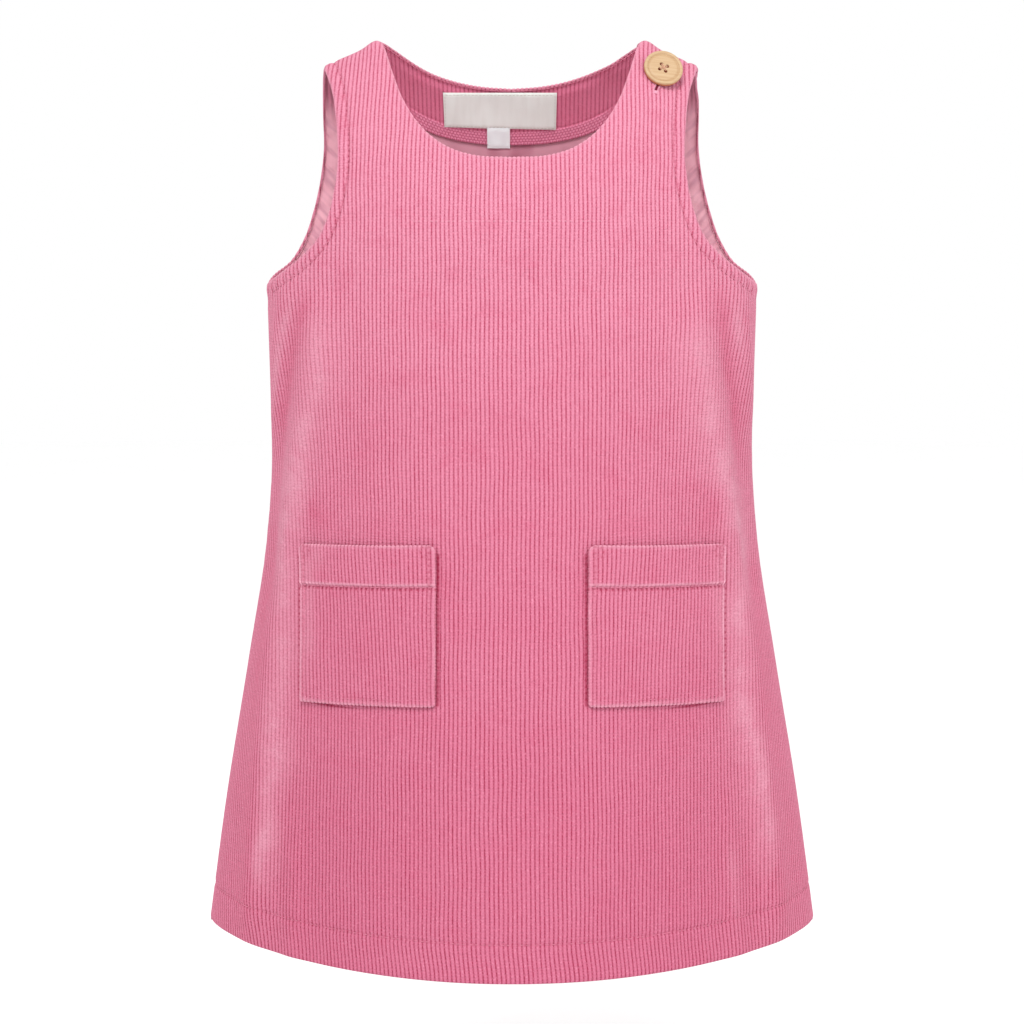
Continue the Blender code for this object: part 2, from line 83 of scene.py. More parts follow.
# %% Sizes of the body and its cloth
FRONT = -1
BACK = 1
CORDUROY = 0.0016  # how thick it is
TURNED_HEM = 0.0026  # how thick the hem is, turned up
LINING = 0.0010
LINING_EASE = 0.0018  # how loosely the lining hangs inside the corduroy
LINING_INSET = 0.0004  # how far its edges stay inside those of the corduroy
FACING = 0.0012
FACING_GAP = 0.0006
GAP = 0.0003
SEAM = -0.00012  # the turned edges of the two faces press into each other at the side seams
BODY_TOP = -0.119  # above the underarms the dress leans in
HEM_HEIGHT = -0.4465
HEM_RISE = 0.005  # how much higher the hem is cut at the sides,
RISE_FROM = 0.2  # from this far down
HEM_DEPTH = 0.018

RING_HEIGHTS = [-0.448, -0.375, -0.310, -0.250, -0.200, -0.155, -0.119]
RING_VALUES = {
    "half_width": [0.1540, 0.1437, 0.1328, 0.1234, 0.1200, 0.1212, 0.1222],
    "front_depth": [0.125, 0.113, 0.101, 0.089, 0.080, 0.074, 0.069],
    "back_depth": [0.110, 0.100, 0.088, 0.077, 0.069, 0.063, 0.060],
    "front_fullness": [0.50, 0.45, 0.38, 0.30, 0.20, 0.15, 0.10],
    "back_fullness": [0.30, 0.25, 0.20, 0.15, 0.10, 0.05, 0.05],
}
LEAN_POWER = 2.0  # how it leans in,
RIDGE_POWER = 1.6  # and how sharply it folds over at the shoulder line
STRAP_DEPTH = 0.050
SLOPE_START = 0.062  # the shoulder line falls from here outwards
SHOULDER_SLOPE = 0.465
SLOPE_ROUNDING = 0.004
ASIDE = -0.0006  # the straps lean a little to one side


def smooth_step(x):
    """0 below 0 and 1 above 1, with a soft rise between."""
    x = np.clip(x, 0.0, 1.0)
    return x * x * (3.0 - 2.0 * x)


def bell(x, middle, width):
    """1 at the middle, and next to nothing two widths away from it."""
    return np.exp(-(((x - middle) / width) ** 2))


def pair(across, down):
    """Places on the flat cloth, one to a row."""
    return np.stack([across, down], axis=-1)


def unit(vectors):
    return vectors / np.linalg.norm(vectors, axis=-1, keepdims=True)


def run_along(points):
    """How far each point of a line lies from its first, along the line."""
    return np.concatenate([[0.0], np.linalg.norm(np.diff(points, axis=0), axis=1).cumsum()])


def smooth_curve(xs, ys, x):
    """A smooth curve through the points (xs, ys), with xs rising, read at x."""
    xs = np.asarray(xs, float)
    ys = np.asarray(ys, float)
    slopes = np.gradient(ys, xs)
    x = np.clip(x, xs[0], xs[-1])
    i = np.clip(np.searchsorted(xs, x) - 1, 0, len(xs) - 2)
    step = xs[i + 1] - xs[i]
    t = (x - xs[i]) / step
    rise = ys[i + 1] - ys[i]
    a = slopes[i] * step - rise
    b = rise - slopes[i + 1] * step
    return ys[i] + t * rise + t * (1 - t) * ((1 - t) * a + t * b)


def ring_value(name, height):
    return smooth_curve(RING_HEIGHTS, RING_VALUES[name], height)


rise = np.sin(np.linspace(0.0, math.pi / 2, 241))
profile_height = BODY_TOP * (1.0 - rise)
profile_lean = (1.0 - rise**LEAN_POWER).clip(0.0) ** (1.0 / RIDGE_POWER)
below_ridge = run_along(pair(profile_height, STRAP_DEPTH * profile_lean))
below_ridge = below_ridge[-1] - below_ridge
BODY_TOP_DOWN = float(below_ridge[0])
HEM_DOWN = BODY_TOP_DOWN + BODY_TOP - HEM_HEIGHT
print(f"cloth from the shoulder line to the hem: {HEM_DOWN * 1000:.0f} mm")


# %% Bend a place on the cloth into the round
def ring_point(face, angle, down):
    """The point of a face at an angle from its centre line and a distance down."""
    distance = np.abs(down)
    side = np.where(down < 0.0, -face, face)
    on_body = distance > BODY_TOP_DOWN
    leaning_height = np.interp(distance, below_ridge[::-1], profile_height[::-1])
    height = np.where(on_body, BODY_TOP - (distance - BODY_TOP_DOWN), leaning_height)
    lean = np.where(on_body, 1.0, np.interp(distance, below_ridge[::-1], profile_lean[::-1]))
    level = np.minimum(height, BODY_TOP)
    front = side < 0
    depth = np.where(front, ring_value("front_depth", level), ring_value("back_depth", level))
    fullness = np.where(front, ring_value("front_fullness", level), ring_value("back_fullness", level))
    x = ring_value("half_width", level) * np.sin(angle)
    y = side * depth * lean * np.cos(angle) * (1.0 - fullness + fullness * np.cos(angle))
    past_neck = np.abs(x) - SLOPE_START
    fall = 0.5 * (past_neck + np.sqrt(past_neck**2 + SLOPE_ROUNDING**2))
    slope = SHOULDER_SLOPE * (1.0 - height / BODY_TOP).clip(0.0) ** 2
    aside = ASIDE * smooth_step(1.0 - height / BODY_TOP)
    return np.stack([x + aside, y, height - slope * fall], axis=-1)


LEVELS = np.linspace(-0.040, HEM_DOWN + 0.012, 260)
SHARES = np.linspace(0.0, 1.0, 121)


def unroll(face):
    """For each level, the distance to the side seam, and the angle at each share of it."""
    angles = np.linspace(0.0, math.pi / 2, 181)
    runs = np.array([run_along(ring) for ring in ring_point(face, angles[None, :], LEVELS[:, None])])
    shares = np.array([np.interp(SHARES * run[-1], run, angles) for run in runs])
    return runs[:, -1], shares


UNROLLED = {FRONT: unroll(FRONT), BACK: unroll(BACK)}


def side_seam(face, down):
    """The distance across from the centre line to the side seam."""
    return np.interp(down, LEVELS, UNROLLED[face][0])


def seam_share(face, across, down):
    """0 on the centre line and 1 at the side seam."""
    return (np.abs(across) / side_seam(face, down)).clip(0.0, 1.0)


def angle_at(face, across, down):
    """The angle round the ring for a place on the flat cloth."""
    table = UNROLLED[face][1]
    row = np.clip((down - LEVELS[0]) / (LEVELS[1] - LEVELS[0]), 0, len(LEVELS) - 1.001)
    column = np.abs(across) / side_seam(face, down) * (len(SHARES) - 1)
    column = np.clip(column, 0, len(SHARES) - 1.001)
    i = row.astype(int)
    j = column.astype(int)
    f = row - i
    g = column - j
    angle = (table[i, j] * (1 - g) + table[i, j + 1] * g) * (1 - f)
    angle = angle + (table[i + 1, j] * (1 - g) + table[i + 1, j + 1] * g) * f
    return angle * np.sign(across)


print(f"front width at the hem: {2000 * side_seam(FRONT, HEM_DOWN):.0f} mm")

# %% [markdown]
# ## Soft folds
#
# Filled cloth still breaks into a few long folds from the underarms to the hem. A simulation would
# place them where it likes, so we lay each one: a bowed line down the cloth, a width and a
# height. Heights above zero are ridges and below zero are troughs. Along the ridges the nap is paler,
# partly worn and partly painted sheen, and in the troughs and near the sides it is darker with painted
# shade, so a second short table says where these streaks run and how strong they are, and a third
# places patches of both kinds.

# %% Lay the folds
Fold = namedtuple("Fold", "face start_across start_down end_across end_down bow width height")
FOLDS = [Fold(*measures) for measures in (
    (FRONT, -0.097, 0.135, -0.152, 0.475, -0.011, 0.013, 0.0034),
    (FRONT, -0.108, 0.140, -0.150, 0.310, -0.006, 0.012, -0.0022),
    (FRONT, -0.114, 0.120, -0.150, 0.235, -0.005, 0.008, 0.0012),
    (FRONT, 0.088, 0.135, 0.158, 0.475, 0.010, 0.013, 0.0032),
    (FRONT, 0.106, 0.145, 0.148, 0.310, 0.006, 0.012, -0.0020),
    (FRONT, 0.113, 0.120, 0.150, 0.225, 0.004, 0.008, 0.0012),
    (BACK, -0.094, 0.150, -0.146, 0.475, -0.009, 0.015, 0.0032),
    (BACK, 0.090, 0.140, 0.150, 0.475, 0.008, 0.014, 0.0034),
    (BACK, 0.034, 0.260, 0.066, 0.490, 0.004, 0.019, 0.0026),
    (BACK, -0.058, 0.280, -0.078, 0.490, 0.000, 0.018, -0.0024),
    (FRONT, -0.086, 0.165, -0.104, 0.285, -0.003, 0.007, 0.0007),
    (FRONT, 0.082, 0.170, 0.103, 0.275, 0.003, 0.007, 0.0006),
    (FRONT, -0.118, 0.385, -0.121, 0.490, 0.000, 0.008, 0.0012),
    (FRONT, 0.116, 0.370, 0.126, 0.490, 0.001, 0.008, 0.0011),
    (FRONT, -0.020, 0.340, -0.030, 0.490, 0.002, 0.016, 0.0006),
    (FRONT, 0.034, 0.350, 0.040, 0.490, -0.002, 0.015, 0.0006),
    (BACK, 0.112, 0.125, 0.146, 0.240, 0.004, 0.008, 0.0012),
    (BACK, -0.110, 0.125, -0.148, 0.260, -0.004, 0.009, -0.0014),
)]
# the two side ridges, as (across, down) marks along their crests
LEFT_FOLD = [
    (-0.098, 0.144), (-0.100, 0.184), (-0.113, 0.221), (-0.1295, 0.267), (-0.1262, 0.298),
    (-0.1312, 0.343), (-0.1365, 0.385), (-0.1430, 0.415), (-0.1450, 0.440),
]
RIGHT_FOLD = [
    (0.091, 0.1485), (0.1001, 0.1888), (0.1142, 0.2297), (0.1300, 0.2632), (0.1268, 0.2903),
    (0.1314, 0.346), (0.1434, 0.3878), (0.1485, 0.4120), (0.1510, 0.436),
]
# face, width, strength, then the marks that a streak runs through; a streak above zero is paler nap,
# partly worn and partly painted sheen, and one of less than zero is darker, saturated nap, painted
# shade in a trough or near the sides
STREAKS = [
    (FRONT, 0.0042, 0.32, *LEFT_FOLD),
    (FRONT, 0.0140, 0.52, *LEFT_FOLD),
    (FRONT, 0.0036, 0.85, (-0.1166, 0.1396), (-0.1302, 0.1673), (-0.1400, 0.1900), (-0.1464, 0.2135)),
    (FRONT, 0.0040, 0.30, (-0.1270, 0.4300), (-0.1267, 0.4421), (-0.1221, 0.4552), (-0.1215, 0.4700)),
    (FRONT, 0.0042, 0.32, *RIGHT_FOLD),
    (FRONT, 0.0145, 0.62, *RIGHT_FOLD),
    (FRONT, 0.0036, 0.85, (0.1152, 0.1396), (0.1221, 0.1578), (0.1312, 0.1747), (0.1400, 0.1870)),
    (FRONT, 0.0040, 0.34, (0.1175, 0.4000), (0.1185, 0.4134), (0.1239, 0.4398), (0.1250, 0.4600)),
    (FRONT, 0.0060, -0.90, (-0.1084, 0.1350), (-0.1140, 0.1600), (-0.1247, 0.1853), (-0.1381, 0.2300)),
    (FRONT, 0.0060, -0.90, (0.1040, 0.1350), (0.1130, 0.1640), (0.1240, 0.1930), (0.1380, 0.2350)),
    (FRONT, 0.0085, -0.70, (-0.1440, 0.2500), (-0.1500, 0.3300), (-0.1600, 0.4750)),
    (FRONT, 0.0080, -0.35, (0.1430, 0.2700), (0.1490, 0.3300), (0.1610, 0.4750)),
    (FRONT, 0.0120, -0.40, (-0.1160, 0.3700), (-0.1180, 0.4300), (-0.1160, 0.4750)),
    (FRONT, 0.0090, -0.30, (0.1290, 0.3900), (0.1330, 0.4300), (0.1380, 0.4750)),
    (BACK, 0.0060, 0.34, (-0.094, 0.160), (-0.112, 0.230), (-0.128, 0.310), (-0.139, 0.400), (-0.146, 0.475)),
    (BACK, 0.0150, 0.42, (-0.096, 0.165), (-0.114, 0.240), (-0.130, 0.310), (-0.141, 0.400), (-0.148, 0.475)),
    (BACK, 0.0056, 0.34, (0.090, 0.150), (0.106, 0.220), (0.124, 0.300), (0.138, 0.400), (0.149, 0.475)),
    (BACK, 0.0150, 0.44, (0.092, 0.160), (0.108, 0.225), (0.126, 0.300), (0.140, 0.400), (0.151, 0.475)),
    (BACK, 0.0080, 0.34, (0.036, 0.290), (0.050, 0.370), (0.064, 0.475)),
    (BACK, 0.0070, -0.50, (-0.106, 0.150), (-0.124, 0.220), (-0.142, 0.320), (-0.156, 0.475)),
    (BACK, 0.0070, -0.50, (0.104, 0.145), (0.122, 0.215), (0.140, 0.320), (0.158, 0.475)),
]
# face, across, down, half width, half height, strength: patches of paler nap above zero, partly worn
# and partly painted sheen, and of darker nap below zero: painted shade beside, above and below the
# pockets, and a few darker patches elsewhere
PALE_AND_SHADED_PATCHES = [
    (FRONT, -0.1045, 0.2500, 0.0060, 0.0075, -0.75), (FRONT, -0.0620, 0.2530, 0.0130, 0.0055, -0.40),
    (FRONT, -0.0800, 0.2370, 0.0140, 0.0040, -0.25), (FRONT, 0.1060, 0.2480, 0.0060, 0.0080, -0.70),
    (FRONT, 0.0600, 0.2520, 0.0140, 0.0055, -0.45), (FRONT, 0.0850, 0.2350, 0.0120, 0.0045, -0.25),
    (FRONT, -0.0320, 0.2800, 0.0030, 0.0150, -0.50), (FRONT, 0.0320, 0.2830, 0.0030, 0.0150, -0.50),
    (FRONT, -0.0800, 0.3470, 0.0300, 0.0065, -0.40), (FRONT, 0.0800, 0.3480, 0.0300, 0.0060, -0.35),
    (FRONT, -0.1080, 0.2950, 0.0042, 0.0260, 0.55), (FRONT, 0.1090, 0.2800, 0.0040, 0.0160, 0.40),
    (FRONT, -0.1010, 0.2680, 0.0050, 0.0060, 0.45), (FRONT, -0.1165, 0.2350, 0.0070, 0.0300, 0.42),
    (FRONT, -0.1340, 0.2350, 0.0120, 0.0200, 0.30),
    (FRONT, -0.1400, 0.2700, 0.0110, 0.0160, 0.35), (FRONT, -0.1440, 0.3650, 0.0120, 0.0200, 0.30),
    (FRONT, -0.1350, 0.4200, 0.0150, 0.0200, 0.28), (FRONT, 0.1400, 0.2500, 0.0110, 0.0200, 0.30),
    (FRONT, 0.1330, 0.4150, 0.0120, 0.0220, 0.28),
    (FRONT, 0.1180, 0.2330, 0.0060, 0.0240, 0.30), (FRONT, -0.0060, 0.2100, 0.0200, 0.0160, -0.22),
    (FRONT, 0.0300, 0.1700, 0.0150, 0.0120, -0.20), (FRONT, -0.0450, 0.1500, 0.0120, 0.0100, -0.20),
    (FRONT, 0.0200, 0.3900, 0.0180, 0.0200, -0.20), (FRONT, -0.0500, 0.4100, 0.0200, 0.0140, -0.22),
    (BACK, -0.0500, 0.2200, 0.0200, 0.0200, -0.22), (BACK, 0.0600, 0.3300, 0.0220, 0.0200, -0.22),
]
FOLD_END = 0.035  # a fold dies away over this length at each end
STREAK_START, STREAK_END = 0.020, 0.030  # and a streak over these
TURN_STEP, DOWN_STEP = 0.004, 0.0005  # steps to either side of a point, for the slope of the form


def fold_height(face, across, down):
    """How far the folds lift the cloth, or sink it, at a place on the flat cloth."""
    total = np.zeros(np.broadcast(across, down).shape)
    for fold in FOLDS:
        if fold.face == face:
            share = (down - fold.start_down) / (fold.end_down - fold.start_down)
            line = fold.start_across + share * (fold.end_across - fold.start_across)
            line = line + fold.bow * 4.0 * share * (1.0 - share)
            ends = smooth_step((down - fold.start_down) / FOLD_END)
            ends = ends * smooth_step((fold.end_down - down) / FOLD_END)
            total = total + fold.height * ends * bell(across, line, fold.width)
    return total


def nap_wear_and_light_at(face, across, down):
    """How pale the nap is, up to 1, from wear and painted sheen, and below zero, down to -1, how dark and
    saturated it is, mostly with painted shade.
    """
    total = np.zeros(np.broadcast(across, down).shape)
    for side, width, strength, *marks in STREAKS:
        if side == face:
            marks_across, marks_down = zip(*marks)
            line = smooth_curve(marks_down, marks_across, down)
            line = line + 0.0012 * np.sin(down / 0.0190 + 3.0 * width) + 0.0008 * np.sin(down / 0.0071)
            ends = smooth_step((down - marks_down[0]) / STREAK_START)
            ends = ends * smooth_step((marks_down[-1] - down) / STREAK_END)
            total = total + strength * ends * bell(across, line, width)
    for side, middle, height, wide, tall, strength in PALE_AND_SHADED_PATCHES:
        if side == face:
            total = total + strength * bell(across, middle, wide) * bell(down, height, tall)
    return total.clip(-1.0, 1.0)


def shoulder_shape(across, down):
    """The shoulder line humps up at the neck and again, less, at the arm, and drops at both ends."""
    reach = np.abs(across)
    shape = 0.0014 * bell(reach, 0.0680, 0.0050) + 0.0004 * bell(reach, 0.0900, 0.0080)
    shape = shape - 0.0010 * (1.0 - smooth_step((reach - 0.0636) / 0.0032))
    shape = shape - 0.0009 * (1.0 - smooth_step((0.0966 - reach) / 0.0026))
    return shape * (1.0 - smooth_step(np.abs(down) / 0.016))


def form(face, across, down, out=0.0):
    """The point of the dress at a place on the flat cloth, moved out from its surface."""
    across, down = np.broadcast_arrays(np.asarray(across, float), np.asarray(down, float))
    angle = angle_at(face, across, down)
    along = ring_point(face, angle + TURN_STEP, down) - ring_point(face, angle - TURN_STEP, down)
    lower = ring_point(face, angle, down + DOWN_STEP) - ring_point(face, angle, down - DOWN_STEP)
    lift = fold_height(face, across, down) + shoulder_shape(across, down) + out
    point = ring_point(face, angle, down) + unit(np.cross(along, lower) * face) * lift[..., None]
    point[..., 1] += face * SEAM
    return point


highest = max(fold.height for fold in FOLDS)
print(f"{len(FOLDS)} folds, the highest {1000 * highest:.1f} mm; {len(STREAKS)} streaks")

# %% [markdown]
# ## The cut
#
# The outline of each half is a short list of marks, as on a paper pattern. A smooth line joins them,
# and the other half is its mirror. On the wearer's left, the front strap laps over the shoulder and
# the back strap runs on under it as a tab.

# %% Draw the pattern lines
UNDERARM_DOWN = 0.1385
FRONT_NECK = [
    (0.0000, 0.0755), (0.0180, 0.0744), (0.0290, 0.0710), (0.0385, 0.0648), (0.0460, 0.0565),
    (0.0525, 0.0450), (0.0575, 0.0300), (0.0620, 0.0110), (0.0645, 0.0000),
]
FRONT_ARMHOLE = [
    (0.1385, 0.1360), (0.1220, 0.1300), (0.1085, 0.1225), (0.0990, 0.1140), (0.0935, 0.1040),
    (0.0895, 0.0910), (0.0870, 0.0740), (0.0872, 0.0560), (0.0895, 0.0320), (0.0935, 0.0130),
    (0.0963, 0.0000),
]
BACK_NECK = [
    (0.0000, 0.0356), (0.0160, 0.0342), (0.0300, 0.0308), (0.0400, 0.0265), (0.0500, 0.0192),
    (0.0580, 0.0105), (0.0645, 0.0000),
]
BACK_ARMHOLE = [
    (0.1350, 0.1333), (0.1210, 0.1265), (0.1122, 0.1155), (0.1054, 0.0995), (0.1005, 0.0815),
    (0.0978, 0.0640), (0.0972, 0.0420), (0.0967, 0.0200), (0.0963, 0.0000),
]
FACING_EDGE = [
    (0.0000, 0.0655), (0.0180, 0.0645), (0.0400, 0.0593), (0.0560, 0.0500), (0.0680, 0.0330),
    (0.0760, 0.0150), (0.0790, 0.0000),
]
LAP_NECK = [(0.0645, 0.0000), (0.0630, -0.0040), (0.0632, -0.0080), (0.0660, -0.0112), (0.0700, -0.0128)]
LAP_ARM = [(0.0963, 0.0000), (0.0962, -0.0060), (0.0958, -0.0130)]
TAB_NECK = [(0.0645, 0.0000), (0.0632, -0.0120), (0.0602, -0.0300)]
TAB_ARM = [(0.0955, 0.0000), (0.0918, -0.0120), (0.0878, -0.0300)]
SINK_FROM = 0.032  # the tab sinks from here up,
SINK_FULL = 0.017  # and lies fully under the front strap from here
POCKET_WIDTH = 0.0783
POCKET_HEIGHT = 0.0758
POCKET_ACROSS = 0.0363  # to its inner side
POCKET_DOWN = 0.2608  # to its top
POCKET_TILT = 0.0030  # how much lower its outer corner sits


def smooth_line(marks, spacing=0.002):
    """Places along a smooth line through marks."""
    points = np.array(marks, float)
    runs = run_along(points)
    wanted = np.linspace(0.0, runs[-1], max(2, int(runs[-1] / spacing)) + 1)
    return pair(*(smooth_curve(runs, points[:, k], wanted) for k in (0, 1)))


def inset(marks, across_by, down_by):
    """The same line moved in from the cloth's edge, still meeting the shoulder line."""
    return [(across + across_by, down + (down_by if down > 0.0 else 0.0)) for across, down in marks]


def arm_line(face, armhole, underarm=UNDERARM_DOWN):
    """The armhole's edge, from the side seam up to the shoulder line."""
    return smooth_line([(float(side_seam(face, underarm)), underarm)] + armhole)


def half_outline(face, neck, armhole, underarm, lap=None, top=-1.0):
    """One half's edge from below the hem, up the side and round the armhole, to the centre of the neck."""
    downs = np.linspace(HEM_DOWN + 0.030, underarm, 60)
    lines = [smooth_line(neck), arm_line(face, armhole, underarm)]
    if lap:
        lines = [np.concatenate([line, smooth_line(more)[1:]]) for line, more in zip(lines, lap)]
    neck, arm = (line[line[:, 1] > top] for line in lines)
    return np.concatenate([pair(side_seam(face, downs), downs), arm[1:], neck[::-1]])


def outline(face, neck, armhole, underarm=UNDERARM_DOWN, **buttoned):
    """A closed outline: a plain half on the wearer's right, and the buttoned one on the left."""
    plain = half_outline(face, neck, armhole, underarm) * (-1.0, 1.0)
    return np.concatenate([half_outline(face, neck, armhole, underarm, **buttoned), plain[::-1][1:]])


def closed(ring):
    return np.concatenate([ring, ring[:1]])


OUTLINES = {
    FRONT: outline(FRONT, FRONT_NECK, FRONT_ARMHOLE, lap=(LAP_NECK, LAP_ARM)),
    BACK: outline(BACK, BACK_NECK, BACK_ARMHOLE, lap=(TAB_NECK, TAB_ARM)),
}
ARM_LINES = {FRONT: arm_line(FRONT, FRONT_ARMHOLE), BACK: arm_line(BACK, BACK_ARMHOLE)}
print(f"pattern lines: {len(OUTLINES[FRONT])} and {len(OUTLINES[BACK])} places round the two panels")

# %% [markdown]
# ## Distances to a line
#
# Rolled edges, topstitching and puckers all follow an edge at a distance. So the tool that everything
# else leans on is the nearest place on a line: how far it is, which way, and how far along.

# %% Measure distances to a line
BLOCK = 4000  # places measured at a time


def nearest(places, line):
    """For each place: the distance to a line, the way to it, and how far along the line it is."""
    start = line[:-1]
    step = line[1:] - start
    length = np.linalg.norm(step, axis=1)
    before = run_along(line)[:-1]
    distance = np.empty(len(places))
    way = np.empty((len(places), 2))
    along = np.empty(len(places))
    for first in range(0, len(places), BLOCK):
        part = slice(first, first + BLOCK)
        apart = places[part][:, None, :] - start[None]
        share = (apart * step[None]).sum(2) / np.maximum(length**2, 1e-18)
        share = share.clip(0.0, 1.0)
        gap = apart - share[..., None] * step[None]
        squared = (gap**2).sum(2)
        best = squared.argmin(1)
        rows = np.arange(len(best))
        distance[part] = np.sqrt(squared[rows, best])
        way[part] = -gap[rows, best]
        along[part] = before[best] + share[rows, best] * length[best]
    way /= np.maximum(np.linalg.norm(way, axis=1, keepdims=True), 1e-12)
    return distance, way, along


def inside(places, ring):
    """Which places lie inside a closed outline."""
    found = np.zeros(len(places), bool)
    x, y = places[:, 0], places[:, 1]
    for (x0, y0), (x1, y1) in zip(ring, np.roll(ring, -1, axis=0)):
        if y0 == y1:
            continue
        crosses = (y0 > y) != (y1 > y)
        found ^= crosses & (x < (x1 - x0) * (y - y0) / (y1 - y0) + x0)
    return found


print("distance helpers ready")

# %% [markdown]
# ## Ribbed cloth
#
# Corduroy is cut pile: cords of standing fibre, the wales, with bare grooves between them. They run
# straight down the cloth. Painting them on would leave a flat sheet at every edge, so they are real:
# four columns of mesh to each wale, one in the groove, one on the crest and one on each shoulder.
# The sheet is cut along its outline, cell by cell, a roll's radius inside the edge. The rest is a rim
# that bends over the edge and a few millimetres back inside, as a turned edge does.

# %% Make a sheet of ribbed cloth
WALE = 0.00215  # nearly twelve to the inch
RIB = 0.00042  # from the groove to the crest
RIB_SHAPE = 0.6
ROLL = 0.0008  # radius of a turned edge
# the rim's rings: how far it has turned, in degrees, and how far back inside it lies
RIM = [(30, 0.0), (60, 0.0), (90, 0.0), (125, 0.0), (160, 0.0), (180, 0.0018), (180, 0.0040)]
SKIN = 0.0006  # rows that lie less than this inside the sheet belong to its outer skin
TURNED_IN = 0.0020  # and more than this, to a part that is turned over
PLACE = slice(0, 2)  # the columns of what we follow for each point of a sheet: across and down,
DROP, WALES, FACING_OUT = 2, 3, 4  # how far inside it lies, on which wale, and whether it faces out


def rib_height(wales):
    """0 in a groove and 1 on a crest."""
    return np.abs(np.sin(math.pi * wales)) ** RIB_SHAPE


def flat(across, down):
    """Nothing to add to the cloth."""
    return 0.0


def cells(shape):
    """The corners of each cell of a grid."""
    index = np.arange(shape[0] * shape[1]).reshape(shape)
    corners = [index[:-1, :-1], index[:-1, 1:], index[1:, 1:], index[1:, :-1]]
    return np.stack(corners, axis=-1).reshape(-1, 4)


def lay_grid(face, wales, rows, bend):
    """A grid of points over the cloth: its shape, and what we follow for each point."""
    down, wale = np.meshgrid(np.array([row[0] for row in rows]), wales, indexing="ij")
    drop = np.repeat(np.array([[row[1]] for row in rows]), len(wales), axis=1)
    across = wale * WALE
    across = across + bend(across, down)
    rise = HEM_RISE * seam_share(face, across, down) ** 2
    down = down - rise * smooth_step((down - RISE_FROM) / (HEM_DOWN - RISE_FROM))
    return down.shape, np.stack([across, down, drop, wale, np.ones(down.shape)], axis=-1).reshape(-1, 5)


def cut_cells(shape, values, room):
    """Cells of a grid cut where room falls to zero.

    Returns the values with those of the new points added, the faces, and the edges left open.
    """
    corners = cells(shape)
    kept = (room[corners] > 0.0).sum(1)
    faces = corners[kept == 4].tolist()
    added = {}
    open_edges = []
    for quad in corners[(kept > 0) & (kept < 4)].tolist():
        face = []
        leaving = []
        entering = []
        for a, b in zip(quad, quad[1:] + quad[:1]):
            if room[a] > 0.0:
                face.append(a)
            if (room[a] > 0.0) != (room[b] > 0.0):
                point = added.setdefault((min(a, b), max(a, b)), len(room) + len(added))
                face.append(point)
                (leaving if room[a] > 0.0 else entering).append(point)
        faces.append(face)
        if len(leaving) == 1:
            open_edges.append((leaving[0], entering[0]))
    first, second = np.array(list(added)).T
    share = (room[first] / (room[first] - room[second]))[:, None]
    values = np.concatenate([values, values[first] * (1 - share) + values[second] * share])
    return values, faces, open_edges


def sweep_rim(values, faces, open_edges, edge_line, relief, rim):
    """Bend a rim over the open edges, ring by ring, and some way back inside."""
    edge = sorted({point for ends in open_edges for point in ends})
    place = {point: i for i, point in enumerate(edge)}
    i, j = np.array([[place[a], place[b]] for a, b in open_edges]).T
    base = values[edge]
    way = nearest(base[:, PLACE], edge_line)[1]
    knobs = relief * (rib_height(base[:, WALES]) - 1.0) * way[:, 1] ** 2  # ribs that run out over the edge
    previous = np.array(edge)
    for turn, back in rim:
        angle = math.radians(turn)
        reach = (ROLL + knobs * (back == 0.0)) * math.sin(angle) - back
        ring = base.copy()
        ring[:, PLACE] += way * reach[:, None]
        ring[:, DROP] += np.where(base[:, DROP] < SKIN, ROLL * (1 - math.cos(angle)), 0.0)
        ring[:, WALES] += way[:, 0] * reach / WALE
        ring[:, FACING_OUT] = math.cos(angle)
        following = len(values) + np.arange(len(edge))
        values = np.concatenate([values, ring])
        faces += np.stack([previous[j], previous[i], following[i], following[j]], axis=1).tolist()
        previous = following
    return values


def keep_used(values, faces):
    """Drop the points that no face uses."""
    used = np.unique(np.fromiter((point for face in faces for point in face), int))
    order = np.full(len(values), -1)
    order[used] = np.arange(len(used))
    return values[used], [order[face].tolist() for face in faces]


def seam_places(places, lines):
    """For each place: how far the nearest row is, how far along it, and how deep it pulls."""
    found = np.zeros((len(places), 3))
    found[:, 0] = 0.05
    for line, depth in lines:
        distance, _, along = nearest(places, np.asarray(line))
        closer = distance < found[:, 0]
        found[closer] = np.stack([distance, along, np.full(len(places), depth)], axis=1)[closer]
    return found


def add_mesh(name, points, faces):
    """A new object with these points and faces, smoothly shaded."""
    mesh = bpy.data.meshes.new(name)
    mesh.from_pydata(np.asarray(points, float).tolist(), [], faces)
    mesh.shade_smooth()
    made = bpy.data.objects.new(name, mesh)
    bpy.context.scene.collection.objects.link(made)
    return made


def add_piece(name, points, faces):
    piece = add_mesh(name, points, faces)
    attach(piece, "root")
    return piece


def note(piece, name, values):
    """Keep a value or a vector for each point of a piece, for its material to read."""
    kind, key = ("FLOAT", "value") if values.ndim == 1 else ("FLOAT_VECTOR", "vector")
    made = piece.data.attributes.new(name, kind, "POINT")
    made.data.foreach_set(key, values.ravel())


def stand_for(node):
    """Let a piece take the place of one of the fixed solids."""
    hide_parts(node)


